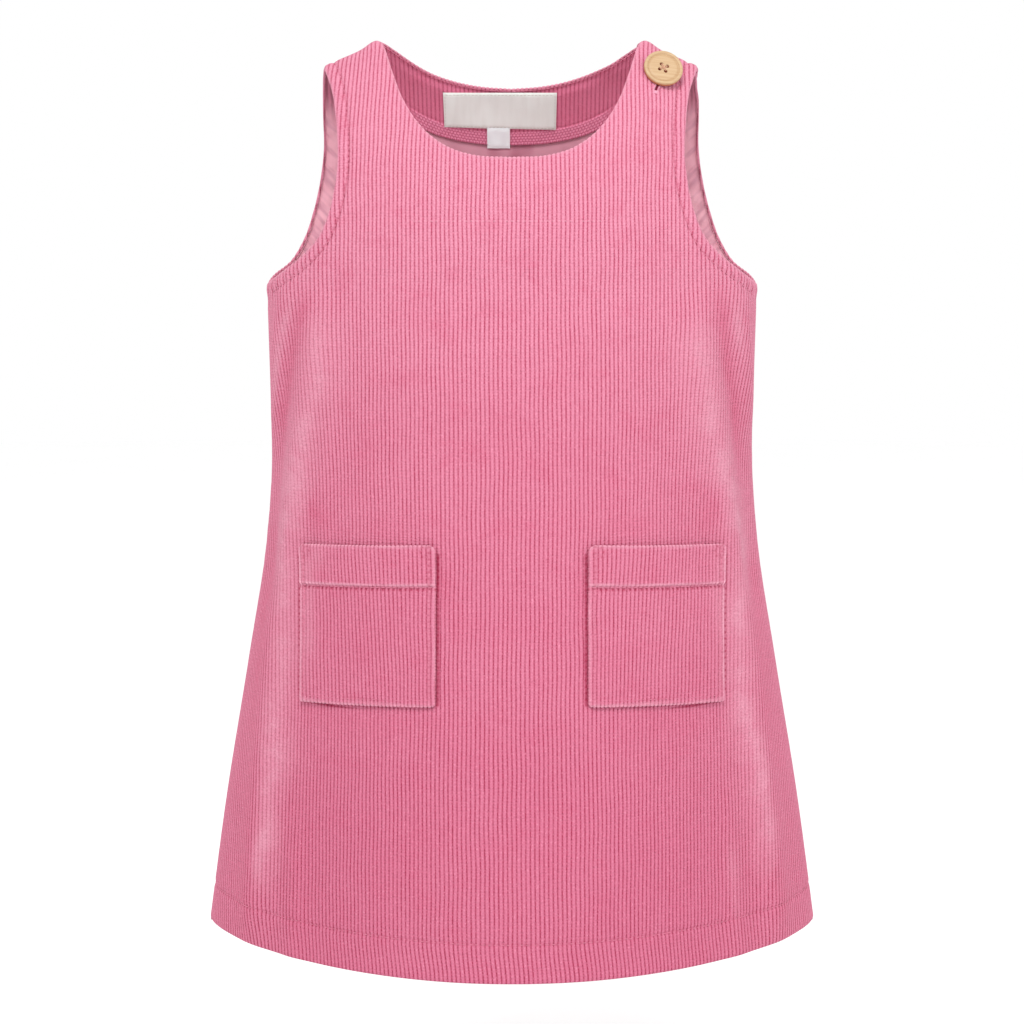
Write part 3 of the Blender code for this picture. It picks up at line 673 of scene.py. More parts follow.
def cloth(
    name, face, wales, rows, ring, level, lift, relief=RIB, bend=flat, inner=False, rim=RIM, sewn=(),
    edge_wear_and_highlight=0.0, extra_wear_and_light=flat,
):
    """A sheet of cloth on one face, cut to an outline.

    wales are the columns, counted in wales from the centre line, and rows are (down, drop) pairs from
    the hem up, with drop how far a row lies inside the sheet. level is the sheet's distance out from
    the form. inner cloth shows its right side to the wearer. sewn holds the lines of its stitching and
    of its painted shadows.
    """
    edge_line = closed(ring)
    shape, values = lay_grid(face, wales, rows, bend)
    distance = nearest(values[:, PLACE], edge_line)[0]
    room = np.where(inside(values[:, PLACE], edge_line), distance, -distance) - ROLL
    room[room == 0.0] = 1e-9
    values, faces, open_edges = cut_cells(shape, values, room)
    values = sweep_rim(values, faces, open_edges, edge_line, relief, rim)
    values, faces = keep_used(values, faces)
    across, down, drop, wale, facing_out = values.T
    places = values[:, PLACE]
    to_edge, to_way, _ = nearest(places, edge_line)
    # paler nap from wear and painted sheen, and darker nap from painted shade, as the tables place them
    painted_light_and_wear = (nap_wear_and_light_at(face, across, down) + extra_wear_and_light(across, down)).clip(-1.0, 2.0)
    pressed = (0.82 + 0.13 * (to_edge < 0.003)) * bell(down, 0.0, 0.008)  # where it folds over the shoulder
    ribs = relief * (rib_height(wale) - 1.0) * (1.0 - 0.35 * painted_light_and_wear.clip(0.0, 1.0))
    ribs = ribs * (1.0 + 0.5 * (to_edge < 0.001)) * (1.0 - pressed)
    ribs = ribs * (-1.0 if inner else 1.0) * np.where(drop > TURNED_IN, -1.0, facing_out)
    points = form(face, across, down, level - drop + ribs + lift(across, down))
    if (face == BACK) != inner:
        faces = [corners[::-1] for corners in faces]
    piece = add_piece(name, points, faces)
    # turned edges are paler, partly worn and partly a painted highlight
    at_edge = 2.0 * edge_wear_and_highlight * (0.62 + 0.38 * np.abs(to_way[:, 1]))
    at_seam = (np.abs(across) > side_seam(face, down) - 0.004) & (down > UNDERARM_DOWN + 0.006)
    at_edge = at_edge * np.where(at_seam, 0.35, 1.0)  # the side seams are painted less pale
    note(piece, "cloth", np.stack([wale, down, across], axis=1))
    note(piece, "rub", painted_light_and_wear + (at_edge - painted_light_and_wear).clip(0.0) * bell(to_edge, 0.0, 0.0011))
    note(piece, "seam", seam_places(places, sewn))
    area = sum(polygon.area for polygon in piece.data.polygons)
    print(f"{name}: {len(faces)} faces, {area * 1e4:.0f} square cm of cloth")
    return piece


# %% [markdown]
# ## Topstitching
#
# A row of topstitching pulls the layers together, so the cloth dips along it, puffs up between it and
# the edge, and puckers across it. These dips go into the panels' own mesh. The thread comes later.
# Each row also carries a depth, which the material reads as a shade: the higher, the darker.

# %% Sink the cloth along the seams
STITCH = 0.0020
STITCH_GAP = 0.0010
ARM_STITCH = 0.0062  # from the armhole's edge
STITCH_DIP = 0.00060
STITCH_WIDTH = 0.0010
PUCKER = 0.00022
PUCKER_LENGTH = 0.0043
PUFF = 0.00025  # between the stitches and the edge
HEM_DIP = 0.0004
HEM_RIPPLE = 0.00012
FACING_DIP = 0.00018
FACING_STITCH_DOWN = 0.106  # one faint row on the chest holds the front facing
FACING_STITCH_HALF = 0.049
DARK_LINE, SLIT = 1.02, 1.3  # depths over these are painted dark all along, as shade, and darker still as a buttonhole's slit


def beside(line, away):
    """A line moved sideways by a distance, to its left as it runs."""
    ahead = unit(np.gradient(line, axis=0))
    return line + pair(-ahead[:, 1], ahead[:, 0]) * away


def both_sides(lines):
    return [(line * (half, 1.0), depth) for line, depth in lines for half in (1, -1)]


def stitch_lines(face):
    """The rows of topstitching on a panel: two armholes, and the hem in two halves."""
    arm = beside(ARM_LINES[face], -ARM_STITCH)
    arm = arm[arm[:, 1] > 0.004]
    strap = arm[arm[:, 1] < 0.0500]
    above = arm[(arm[:, 0] <= 0.1060) & (arm[:, 1] > 0.0480)]
    below = arm[arm[:, 0] > 0.1040]
    share = np.linspace(0.0, 1.0, 120)
    reach = side_seam(face, HEM_DOWN - HEM_DEPTH) - 0.001
    hem = pair(share * reach, HEM_DOWN - HEM_DEPTH - HEM_RISE * share**2)
    return both_sides([(strap, 0.34), (above, 0.58), (below, 0.26), (hem, 0.38)])


def sunk_tab(across, down):
    """How far the back strap's tab sinks, to pass under the buttoned strap."""
    share = smooth_step((SINK_FROM - down) / (SINK_FROM - SINK_FULL))
    sideways = smooth_step((across - 0.5 * FRONT_NECK[-1][0]) / 0.02)
    return share * sideways * (CORDUROY + 2.0 * GAP)


def seam_dips(face):
    """How the stitching of a panel lifts and sinks its cloth."""

    def lift(across, down):
        close = (down < UNDERARM_DOWN + 0.02) & (np.abs(across) > 0.06)
        distance, _, along = nearest(pair(np.abs(across), down)[close], ARM_LINES[face])
        wave = np.sin(2 * math.pi * along / PUCKER_LENGTH + 1.7 * np.sin(along / 0.0115))
        total = np.zeros(len(across))
        total[close] = PUCKER * wave * bell(distance, ARM_STITCH - 0.0012, 0.0030)
        total[close] -= STITCH_DIP * bell(distance, ARM_STITCH, STITCH_WIDTH)
        total[close] += PUFF * smooth_step((ARM_STITCH - distance) / 0.002) * smooth_step(distance / 0.002)
        above_hem = HEM_DOWN - HEM_RISE * seam_share(face, across, down) ** 2 - down
        ripple = HEM_RIPPLE * np.sin(across / 0.0021 + 2.0 * np.sin(across / 0.013))
        total += ripple * bell(above_hem, HEM_DEPTH, 0.0035) - HEM_DIP * bell(above_hem, HEM_DEPTH, 0.0011)
        if face == BACK:
            return total - sunk_tab(across, down)
        held = smooth_step((FACING_STITCH_HALF + 0.004 - np.abs(across)) / 0.006)
        return total - FACING_DIP * held * bell(down, FACING_STITCH_DOWN, 0.0008)

    return lift


def flat_rows(downs):
    """Rows that lie on the sheet itself."""
    return [(down, 0.0) for down in downs]


def panel_rows(top):
    """Rows from inside the turned-up hem, round its edge, and up to the top of a panel."""
    radius = TURNED_HEM / 2
    rows = [(HEM_DOWN - above, TURNED_HEM) for above in (0.0200, 0.0140, 0.0080, 0.0035, radius)]
    for turn in (150, 120, 90, 60, 30, 0):
        angle = math.radians(turn)
        rows.append((HEM_DOWN - radius + radius * math.sin(angle), radius * (1 - math.cos(angle))))
    rows += flat_rows(HEM_DOWN - above for above in (0.003, 0.006, 0.0095, 0.013, 0.0158))
    rows += flat_rows(HEM_DOWN - HEM_DEPTH + shift for shift in (0.0011, 0.0006, 0, -0.0006, -0.0011))
    rows += flat_rows(HEM_DOWN - above for above in (0.0202, 0.0235))
    rows += flat_rows(np.arange(HEM_DOWN - 0.028, 0.1435, -0.005))
    return rows + flat_rows(np.arange(0.1415, top, -0.0015))


def wale_columns(low, high):
    """Four columns to each wale, from one wale to another."""
    return np.arange(4 * low, 4 * high + 1) / 4.0


STRAP_LEAN = (0.0050, -0.0010)  # how far the wales lean to the neck, up the right and the left strap
HEM_LEAN = 0.0016
UNDERARM_PULL = 0.0075
SIDE_EASE = 0.28  # how much wider the wales stand where the cloth turns round the sides
EASE_FROM = 0.085
EASE_OVER = 0.065


def wander(across, down):
    """Wales never run quite straight: they sway, lean up the straps and shift in the hem."""
    side = np.sign(across)
    reach = np.abs(across)
    sway = 0.00022 * np.sin(down / 0.031 + across / 0.037) + 0.00012 * np.sin(down / 0.011 - across / 0.016)
    sway = sway + 0.00016 * np.sin(down / 0.0052 + across / 0.0083) * np.sin(down / 0.047 + across / 0.021)
    pulled = smooth_step((reach - 0.078) / 0.050) * (1.0 - smooth_step((down - 0.130) / 0.110))
    past = (reach - EASE_FROM).clip(0.0) / EASE_OVER
    eased = np.where(past < 1.0, past**3 - past**4 / 2.0, past - 0.5)
    on_strap = smooth_step((0.110 - down) / 0.13) * smooth_step((reach - 0.010) / 0.050)
    lean = np.where(across < 0.0, *STRAP_LEAN)
    in_hem = smooth_step((down - HEM_DOWN + HEM_DEPTH) / HEM_DEPTH)
    sideways = UNDERARM_PULL * pulled + SIDE_EASE * EASE_OVER * eased - lean * on_strap
    return sway + side * sideways + HEM_LEAN * in_hem


def pocket_shadow():
    """The skirt stays dark along the pockets' inner edges and feet, and a little way off their outer ones."""
    inner, outer = POCKET_ACROSS - 0.0007, POCKET_ACROSS + POCKET_WIDTH
    beyond = outer + 0.0022
    foot = POCKET_DOWN + POCKET_HEIGHT + 0.0007
    marks = [(inner, POCKET_DOWN + 0.003), (inner, foot), (outer, foot + POCKET_TILT)]
    shadow = np.concatenate([np.linspace(a, b, 40) for a, b in zip(marks, marks[1:])])
    top, low = POCKET_DOWN + POCKET_TILT + 0.004, foot + POCKET_TILT - 0.003
    return both_sides([(shadow, 1.1), (np.linspace((beyond, top), (beyond, low), 60), 1.04)])


BUTTONHOLE = np.array([(0.0738, 0.0180), (0.0727, 0.0322), (0.0712, 0.0372)])
PANELS = (  # face, name, how far it runs over the shoulder, its stitching with the painted shadows beside the pockets, and how pale its edges are, partly worn and partly a painted highlight
    (FRONT, "front", -0.016, stitch_lines(FRONT) + [(BUTTONHOLE, 1.6)] + pocket_shadow(), 0.85),
    (BACK, "back", -0.033, stitch_lines(BACK), 0.42),
)
panels = []
for face, word, top, sewn, edge_wear_and_highlight in PANELS:
    widest = math.ceil(side_seam(face, HEM_DOWN) / WALE) + 1
    panel = cloth(
        f"{word}_corduroy", face, wale_columns(-widest, widest), panel_rows(top), OUTLINES[face], 0.0,
        seam_dips(face), bend=wander, sewn=sewn, edge_wear_and_highlight=edge_wear_and_highlight,
    )
    stand_for(f"{word}_panel")
    panels.append(panel)
front, back = panels

# %% [markdown]
# ## Patch pockets
#
# Each pocket is a rectangle of the same corduroy with its top turned down double, and it is sewn on
# by its sides and foot. Its wales lean a little, because it was cut a shade off the straight.

# %% Lay the pockets on the skirt
POCKET_BAND = 0.0200
POCKET_LEVEL = 0.0004 + CORDUROY
BAND_PUFF = 0.0006
BAND_DIP = 0.00045
POCKET_CORNER = 0.0035
FOOT_CORNER = 0.0012
POCKET_STITCH = 0.0032  # from its edges
POCKET_DIP = 0.00022


def on_skirt(half, marks):
    """Marks measured from a pocket's inner upper corner, laid on the skirt."""
    inner, below = np.array(marks, float).T
    return pair(half * (POCKET_ACROSS + inner), POCKET_DOWN + below + POCKET_TILT * inner / POCKET_WIDTH)


def on_pocket(across, down):
    """Places on the skirt, measured from the pocket's inner upper corner."""
    inner = np.abs(across) - POCKET_ACROSS
    return inner, down - POCKET_DOWN - POCKET_TILT * inner / POCKET_WIDTH


def dense(marks, spacing, least):
    """Straight lines from mark to mark, in short steps, without the last mark."""
    line = []
    for a, b in zip(marks, marks[1:]):
        count = max(least, int(math.dist(a, b) / spacing))
        line += np.linspace(a, b, count, endpoint=False).tolist()
    return line


def pocket_outline(half):
    """A pocket's edge, with its two upper corners rounded."""
    corners = [(0.0, POCKET_HEIGHT, FOOT_CORNER), (POCKET_WIDTH, POCKET_HEIGHT, FOOT_CORNER)]
    corners += [(POCKET_WIDTH, 0.0, POCKET_CORNER), (0.0, 0.0, POCKET_CORNER)]
    ring = []
    for quarter, (x, y, radius) in enumerate(corners):
        centre = (x, y) + np.sign((POCKET_WIDTH / 2 - x, POCKET_HEIGHT / 2 - y)) * radius
        for turn in np.linspace(180 - 90 * quarter, 90 - 90 * quarter, 6):
            angle = math.radians(turn)
            ring.append(centre + radius * np.array([math.cos(angle), math.sin(angle)]))
    return on_skirt(half, dense(closed(ring), 0.003, 1))


def pocket_line(half, marks):
    """A line on a pocket, from marks measured from its inner upper corner."""
    return on_skirt(half, dense(marks, 0.002, 2) + [marks[-1]])


near, far, foot = POCKET_STITCH, POCKET_WIDTH - POCKET_STITCH, POCKET_HEIGHT - POCKET_STITCH
BAND_ROW = [(0.0012, POCKET_BAND), (POCKET_WIDTH - 0.0012, POCKET_BAND)]
BAND_SHADOW = [(0.0, POCKET_BAND + 0.0009), (POCKET_WIDTH, POCKET_BAND + 0.0009)]
SIDE_ROWS = [
    [(near, POCKET_BAND + 0.001), (near, foot)],
    [(near, foot), (far, foot)],
    [(far, foot), (far, POCKET_BAND + 0.001)],
]
TOP_ROWS = [[(near, 0.0008), (near, POCKET_BAND - 0.001)], [(far, POCKET_BAND - 0.001), (far, 0.0008)]]
for corner, way in ((near, 1), (far, -1)):  # a small box of stitches holds each upper corner
    reach = corner + way * 0.0040
    TOP_ROWS.append([(corner, 0.0014), (reach, 0.0014), (reach, 0.0056), (corner, 0.0056)])

POCKET_EDGE = closed(pocket_outline(1))


def pocket_lift(across, down):
    """The band is doubled and puffs up, and the stitching sinks it and the sides."""
    _, below = on_pocket(across, down)
    band = BAND_PUFF * smooth_step((POCKET_BAND - below) / 0.0010)
    band = band - BAND_DIP * bell(below, POCKET_BAND, 0.0008)
    distance = nearest(pair(np.abs(across), down), POCKET_EDGE)[0]
    return band - POCKET_DIP * bell(distance, POCKET_STITCH, 0.0009) * smooth_step((below - 0.004) / 0.004)


def pocket_wear_and_highlight(across, down):
    """The doubled band is paler along its stitched edge, the pocket a little near each side and more along
    its outer edge: partly wear and partly a painted highlight.
    """
    inner, below = on_pocket(across, down)
    sides = 0.25 * (bell(inner, POCKET_STITCH, 0.0009) + bell(inner, POCKET_WIDTH - POCKET_STITCH, 0.0009))
    outer_edge = 1.10 * bell(inner, POCKET_WIDTH - 0.0008, 0.0008)
    return 1.30 * bell(below, POCKET_BAND - 0.0010, 0.0007) + sides + outer_edge


def pocket_bend(across, down):
    """A pocket's wales lean and bow a little."""
    inward = ((np.abs(across) - POCKET_ACROSS) / POCKET_WIDTH).clip(0.0, 1.0)
    sway = np.sin(math.pi * inward) * ((down - POCKET_DOWN) / POCKET_HEIGHT - 0.3) * 0.0042
    return wander(across, down) - np.sign(across) * sway


pockets = []
band_at = POCKET_DOWN + POCKET_BAND
rows = [*np.arange(POCKET_DOWN - 0.003, band_at - 0.0012, 0.0015)]
rows += [*band_at + np.arange(-0.0010, 0.0050, 0.0005)]
rows += [*np.arange(band_at + 0.006, POCKET_DOWN + POCKET_HEIGHT + 0.008, 0.0022)]
columns = wale_columns(
    math.floor(POCKET_ACROSS / WALE) - 3, math.ceil((POCKET_ACROSS + POCKET_WIDTH) / WALE) + 3,
)
kinds = (([BAND_SHADOW], 1.0), (SIDE_ROWS, 0.34), (TOP_ROWS, 0.60))
for half, node in ((1, "pocket_left"), (-1, "pocket_right")):
    pocket = cloth(
        f"{node}_corduroy", FRONT, np.sort(half * columns), flat_rows(rows[::-1]), pocket_outline(half),
        POCKET_LEVEL, pocket_lift, bend=pocket_bend, edge_wear_and_highlight=0.76, extra_wear_and_light=pocket_wear_and_highlight,
        sewn=[(pocket_line(half, marks), depth) for lines, depth in kinds for marks in lines],
    )
    stand_for(node)
    pockets.append(pocket)

# %% [markdown]
# ## Lining and back neck facing
#
# Inside, a thin smooth cotton hangs free of the corduroy, a little loose, so it breaks into small
# soft wrinkles. Behind the neck a shaped band of corduroy, the facing, is sewn over it.

# %% Hang the lining and the facing
LINING_HEM = HEM_DOWN - HEM_DEPTH - HEM_RISE - 0.004
LINING_LEVEL = -CORDUROY - LINING_EASE - LINING
FACING_LEVEL = -CORDUROY - FACING_GAP - FACING
LINING_RAISED = -0.0023  # where the lining meets the turned edges
LINING_RIM = [(40, 0.0), (90, 0.0)]

low_underarm = UNDERARM_DOWN + LINING_INSET
LINING_NECK = {
    FRONT: inset(FRONT_NECK, LINING_INSET, LINING_INSET),
    BACK: inset(FACING_EDGE, -0.0030, -0.0030),
}
LINING_ARM = {
    FRONT: inset(FRONT_ARMHOLE, -LINING_INSET, LINING_INSET),
    BACK: inset(BACK_ARMHOLE, -LINING_INSET, LINING_INSET),
}
LINING_EDGES = {
    face: np.concatenate([
        smooth_line([(0.16, low_underarm)] + LINING_ARM[face]), smooth_line(LINING_NECK[face])[::-1],
    ])
    for face in (FRONT, BACK)
}


def lining_wrinkles(face):
    """Soft wrinkles drawn at random, and short ones that run in from the armholes."""
    draw = np.random.default_rng(7 if face == FRONT else 11).uniform
    marks = []
    for _ in range(26):
        marks.append((
            draw(-0.14, 0.14), draw(0.10, 0.40), draw(0.03, 0.09), draw(0.0035, 0.0075), draw(-0.25, 0.25),
            draw(0.0002, 0.0008),
        ))
    for half in (-1, 1):
        for centre in np.arange(0.030, 0.135, 0.0105):
            marks.append((
                half * draw(0.094, 0.102), centre, 0.0034, 0.030, half * draw(2.0, 4.0),
                draw(-0.0024, -0.0010),
            ))

    def lift(across, down):
        total = np.zeros(len(across))
        for middle, centre, length, width, slant, height in marks:
            line = middle + slant * (down - centre)
            total = total + height * bell(across, line, width) * bell(down, centre, length)
        distance = nearest(pair(np.abs(across), down), LINING_EDGES[face])[0]
        raised = (LINING_RAISED - LINING_LEVEL) * (1.0 - smooth_step(distance / 0.0085))
        sunk = sunk_tab(across, down) if face == BACK else 0.0
        return raised + total * smooth_step(distance / 0.0035) - sunk

    return lift


linings = []
columns = np.arange(-0.216, 0.2161, 0.0022) / WALE
rows = [(LINING_HEM - 0.003, -0.0006), (LINING_HEM, -0.0008), (LINING_HEM, 0.0), (LINING_HEM - 0.001, 0.0)]
rows += flat_rows(np.arange(LINING_HEM - 0.004, -0.006, -0.003))
for face, node, top in ((FRONT, "lining_front", 0.034), (BACK, "lining_back", -1.0)):
    piece = cloth(
        f"{node}_cotton", face, columns, rows,
        outline(face, LINING_NECK[face], LINING_ARM[face], low_underarm, top=top), LINING_LEVEL + 0.0002,
        lining_wrinkles(face), relief=0.0, inner=True, rim=LINING_RIM,
    )
    stand_for(node)
    linings.append(piece)

FACING_STRIP = 0.0068  # the overlocked strip along its lower edge
STRIP_ROW = 0.00145
STRIP_LOOP = 0.00165
STRIP_DIP = 0.00022
FACING_NECK = -0.0019  # where the facing meets the turned neck edge
facing_edge = smooth_line(FACING_EDGE)
facing_edge_line = np.concatenate([(facing_edge * (-1, 1))[::-1], facing_edge[1:]])
facing_half = np.concatenate([facing_edge, smooth_line(inset(BACK_NECK, 0.0, 0.0005))[::-1]])
facing_ring = np.concatenate([facing_half, (facing_half * (-1.0, 1.0))[::-1][1:-1]])


def facing_lift(across, down):
    """The strip lies a little low, and the neck edge comes out to meet the panel's."""
    distance = nearest(pair(across, down), facing_edge_line)[0]
    strip = STRIP_DIP * smooth_step((FACING_STRIP - distance) / 0.0006)
    dip = 0.0003 * bell(distance, FACING_STRIP + 0.0003, 0.0005)
    from_neck = nearest(pair(np.abs(across), down), smooth_line(BACK_NECK))[0]
    raised = (FACING_NECK - FACING_LEVEL) * (1.0 - smooth_step(from_neck / 0.006))
    return raised - strip + dip - sunk_tab(across, down)


facing = cloth(
    "neck_facing_corduroy", BACK, wale_columns(-38, 38), flat_rows(np.arange(0.0705, -0.004, -0.0006)),
    facing_ring, FACING_LEVEL + 0.0001, facing_lift, relief=0.00030, inner=True, rim=LINING_RIM,
    sewn=[(facing_edge_line, 1.0)],
)
stand_for("neck_facing_back")

# %% [markdown]
# ## Shader helpers
#
# A material is a sum on numbers that change over the surface. Wrapping a node's output in a small
# class lets us write that sum as we would on paper, with one method for every other kind of node.


# %% Write materials as sums
class Value:
    """One output of a node, with arithmetic that adds Math nodes."""

    def __init__(self, paint, socket):
        self.paint = paint
        self.socket = socket

    def math(self, operation, *values):
        return self.paint.node("ShaderNodeMath", {"operation": operation}, dict(enumerate(values)))

    def __add__(self, other):
        return self.math("ADD", self, other)

    __radd__ = __add__

    def __sub__(self, other):
        return self.math("SUBTRACT", self, other)

    def __rsub__(self, other):
        return self.math("SUBTRACT", other, self)

    def __mul__(self, other):
        return self.math("MULTIPLY", self, other)

    __rmul__ = __mul__

    def __truediv__(self, other):
        return self.math("DIVIDE", self, other)

    def __pow__(self, other):
        return self.math("POWER", self, other)

    def sin(self):
        return self.math("SINE", self)

    def floor(self):
        return self.math("FLOOR", self)

    def fraction(self):
        return self.math("FRACT", self)

    def absolute(self):
        return self.math("ABSOLUTE", self)

    def wave(self, length):
        """From -1 to 1 and back over each length."""
        return (self * (2 * math.pi / length)).sin()

    def zigzag(self):
        """0 half way between two whole numbers, and 1 on them."""
        return (self.fraction() - 0.5).absolute() * 2.0

    def held(self):
        """Kept between 0 and 1."""
        return self.math("MINIMUM", self.math("MAXIMUM", self, 0.0), 1.0)

    def rising(self, low, high):
        """A soft step from 0 at low to 1 at high."""
        settings = {"interpolation_type": "SMOOTHSTEP"}
        return self.paint.node("ShaderNodeMapRange", settings, {0: self, 1: low, 2: high, 3: 0.0, 4: 1.0})


class Paint:
    """A material and its nodes."""

    def __init__(self, name, **fixed):
        self.material = bpy.data.materials.new(name)
        self.material.use_nodes = True
        self.tree = self.material.node_tree
        self.shader = self.tree.nodes["Principled BSDF"]
        for socket, value in fixed.items():
            self.shader.inputs[socket.replace("_", " ")].default_value = value

    def node(self, kind, settings, values, output=0):
        """Add a node: its settings first, then the values or links of its sockets."""
        made = self.tree.nodes.new(kind)
        for key, value in settings.items():
            if key == "stops":
                ramp = made.color_ramp
                while len(ramp.elements) < len(value):
                    ramp.elements.new(0.5)
                for element, (position, colour) in zip(ramp.elements, value):
                    element.position = position
                    element.color = (*colour, 1.0)
            else:
                setattr(made, key, value)
        for key, value in values.items():
            self.feed(made.inputs[key], value)
        return Value(self, made.outputs[output])

    def feed(self, socket, value):
        if isinstance(value, Value):
            self.tree.links.new(value.socket, socket)
        elif isinstance(value, tuple) and socket.type == "RGBA":
            socket.default_value = (*value, 1.0)
        else:
            socket.default_value = value

    def mix(self, mask, first, second):
        """The second colour over the first. The node keeps the mask between 0 and 1."""
        return self.node("ShaderNodeMix", {"data_type": "RGBA"}, {0: mask, 6: first, 7: second}, 2)

    def parts(self, vector):
        """The three numbers of a vector."""
        first = self.node("ShaderNodeSeparateXYZ", {}, {0: vector})
        return [Value(self, socket) for socket in first.socket.node.outputs]

    def noise(self, vector, scale=1.0, detail=2.0, rough=0.5):
        values = {"Vector": vector, "Scale": scale, "Detail": detail, "Roughness": rough}
        return self.node("ShaderNodeTexNoise", {}, values)

    def flat_noise(self, x, y, detail=2.0, rough=0.5):
        """Noise over the flat cloth, with about one blot to each unit of x and of y."""
        return self.noise(self.node("ShaderNodeCombineXYZ", {}, {0: x, 1: y}), 1.0, detail, rough)

    def attribute(self, name, output="Fac"):
        return self.node("ShaderNodeAttribute", {"attribute_name": name}, {}, output)

    def position(self):
        return self.node("ShaderNodeTexCoord", {}, {}, "Object")

    def use(self, **sockets):
        for socket, value in sockets.items():
            self.feed(self.shader.inputs[socket.replace("_", " ")], value)
        return self.material

    def bump(self, height, distance, strength=1.0):
        values = {"Height": height, "Distance": distance, "Strength": strength}
        return self.node("ShaderNodeBump", {}, values)


def colour(red, green, blue):
    """A colour as linear light, from the 0 to 255 values of a colour picker."""
    parts = [x / 255.0 for x in (red, green, blue)]
    return tuple(x / 12.92 if x <= 0.04045 else ((x + 0.055) / 1.055) ** 2.4 for x in parts)


print("shader helpers ready")

# %% [markdown]
# ## Corduroy
#
# The crests are brushed and catch the light, and the grooves hold a deeper, cooler pink, partly their
# own colour and partly painted shade, broken into beads where the ground weave crosses them. All of it
# is painted darker down the skirt, as shade. The nap also lies a little differently from place to
# place, which shows as soft clouds and streaks; it is paler on the ridges of folds, partly worn and
# partly painted sheen, and darker in their troughs and beside the pockets, which is painted shade. The
# standing fibres light up towards the edges of the form, which is what sheen is for, and the crests
# there are painted lighter too.


# %% Mix the corduroy
BEAD = 0.00150  # from one bead to the next, down a groove
CREST = colour(209, 135, 157)
GROOVE = colour(166, 54, 84)
LOW_CREST_SHADED = colour(196, 106, 133)  # painted shade: darker lower on the skirt, where less light falls
LOW_GROOVE_SHADED = colour(150, 36, 67)
# paler nap, partly worn and partly painted sheen, and paler crests on turned edges, partly worn and partly a
# painted highlight
WORN_AND_SHEEN = colour(203, 136, 155)
EDGE_PALE = colour(232, 166, 186)
INNER_CREST = colour(219, 124, 153)
INNER_GROOVE = colour(176, 74, 103)


def tinted(tone, by):
    """A colour times a number, or times a number for each of its parts."""
    return tuple(np.minimum(1.0, np.multiply(tone, by)).tolist())


def overlocked(paint, base, crest, groove, across, from_edge, grain):
    """The strip along the facing's edge: beads set like bricks, and painted shade in the holes along the very
    edge.
    """
    row = from_edge / STRIP_ROW
    loop = across / STRIP_LOOP + row.floor() * 0.5
    knob = (1.0 - loop.zigzag() ** 1.6) * (row.fraction() * math.pi).sin()
    knob = (knob + (grain - 0.5) * 0.7).rising(0.0, 0.66)
    on_strip = 1.0 - from_edge.rising(FACING_STRIP - 0.0006, FACING_STRIP)
    on_strip = on_strip * (1.0 - across.absolute().rising(0.046, 0.054))
    beads = paint.mix(knob, tinted(groove, (1.22, 1.75, 1.55)), tinted(crest, (1.12, 1.50, 1.38)))
    base = paint.mix(on_strip * 0.9, base, beads)
    teeth = (across / (0.5 * WALE)).fraction().rising(0.2, 0.8)
    edge = (1.0 - from_edge.rising(0.0003, 0.0009)) * (0.35 + teeth * 0.65)
    return paint.mix(edge, base, tinted(groove, 0.50)), knob * on_strip


def sewn_in(paint, base, groove, along, from_seam, depth, streak):
    """Shade in the stitch holes of a seam, all along it where it is deep, and darkest in a slit."""
    hole = (along / (STITCH + STITCH_GAP)).zigzag().rising(0.45, 0.95)
    hole = (hole + (depth - DARK_LINE).held() * 9.0).held()
    sewn = (1.0 - from_seam.rising(0.0002, 0.0012)) * depth
    base = paint.mix(sewn * (0.20 + hole * 0.60) * (0.4 + streak * 1.1), base, groove)
    slit = (depth - SLIT).held() * 4.0 * (1.0 - from_seam.rising(0.0004, 0.0009))
    return paint.mix(slit, base, tinted(groove, 0.45))


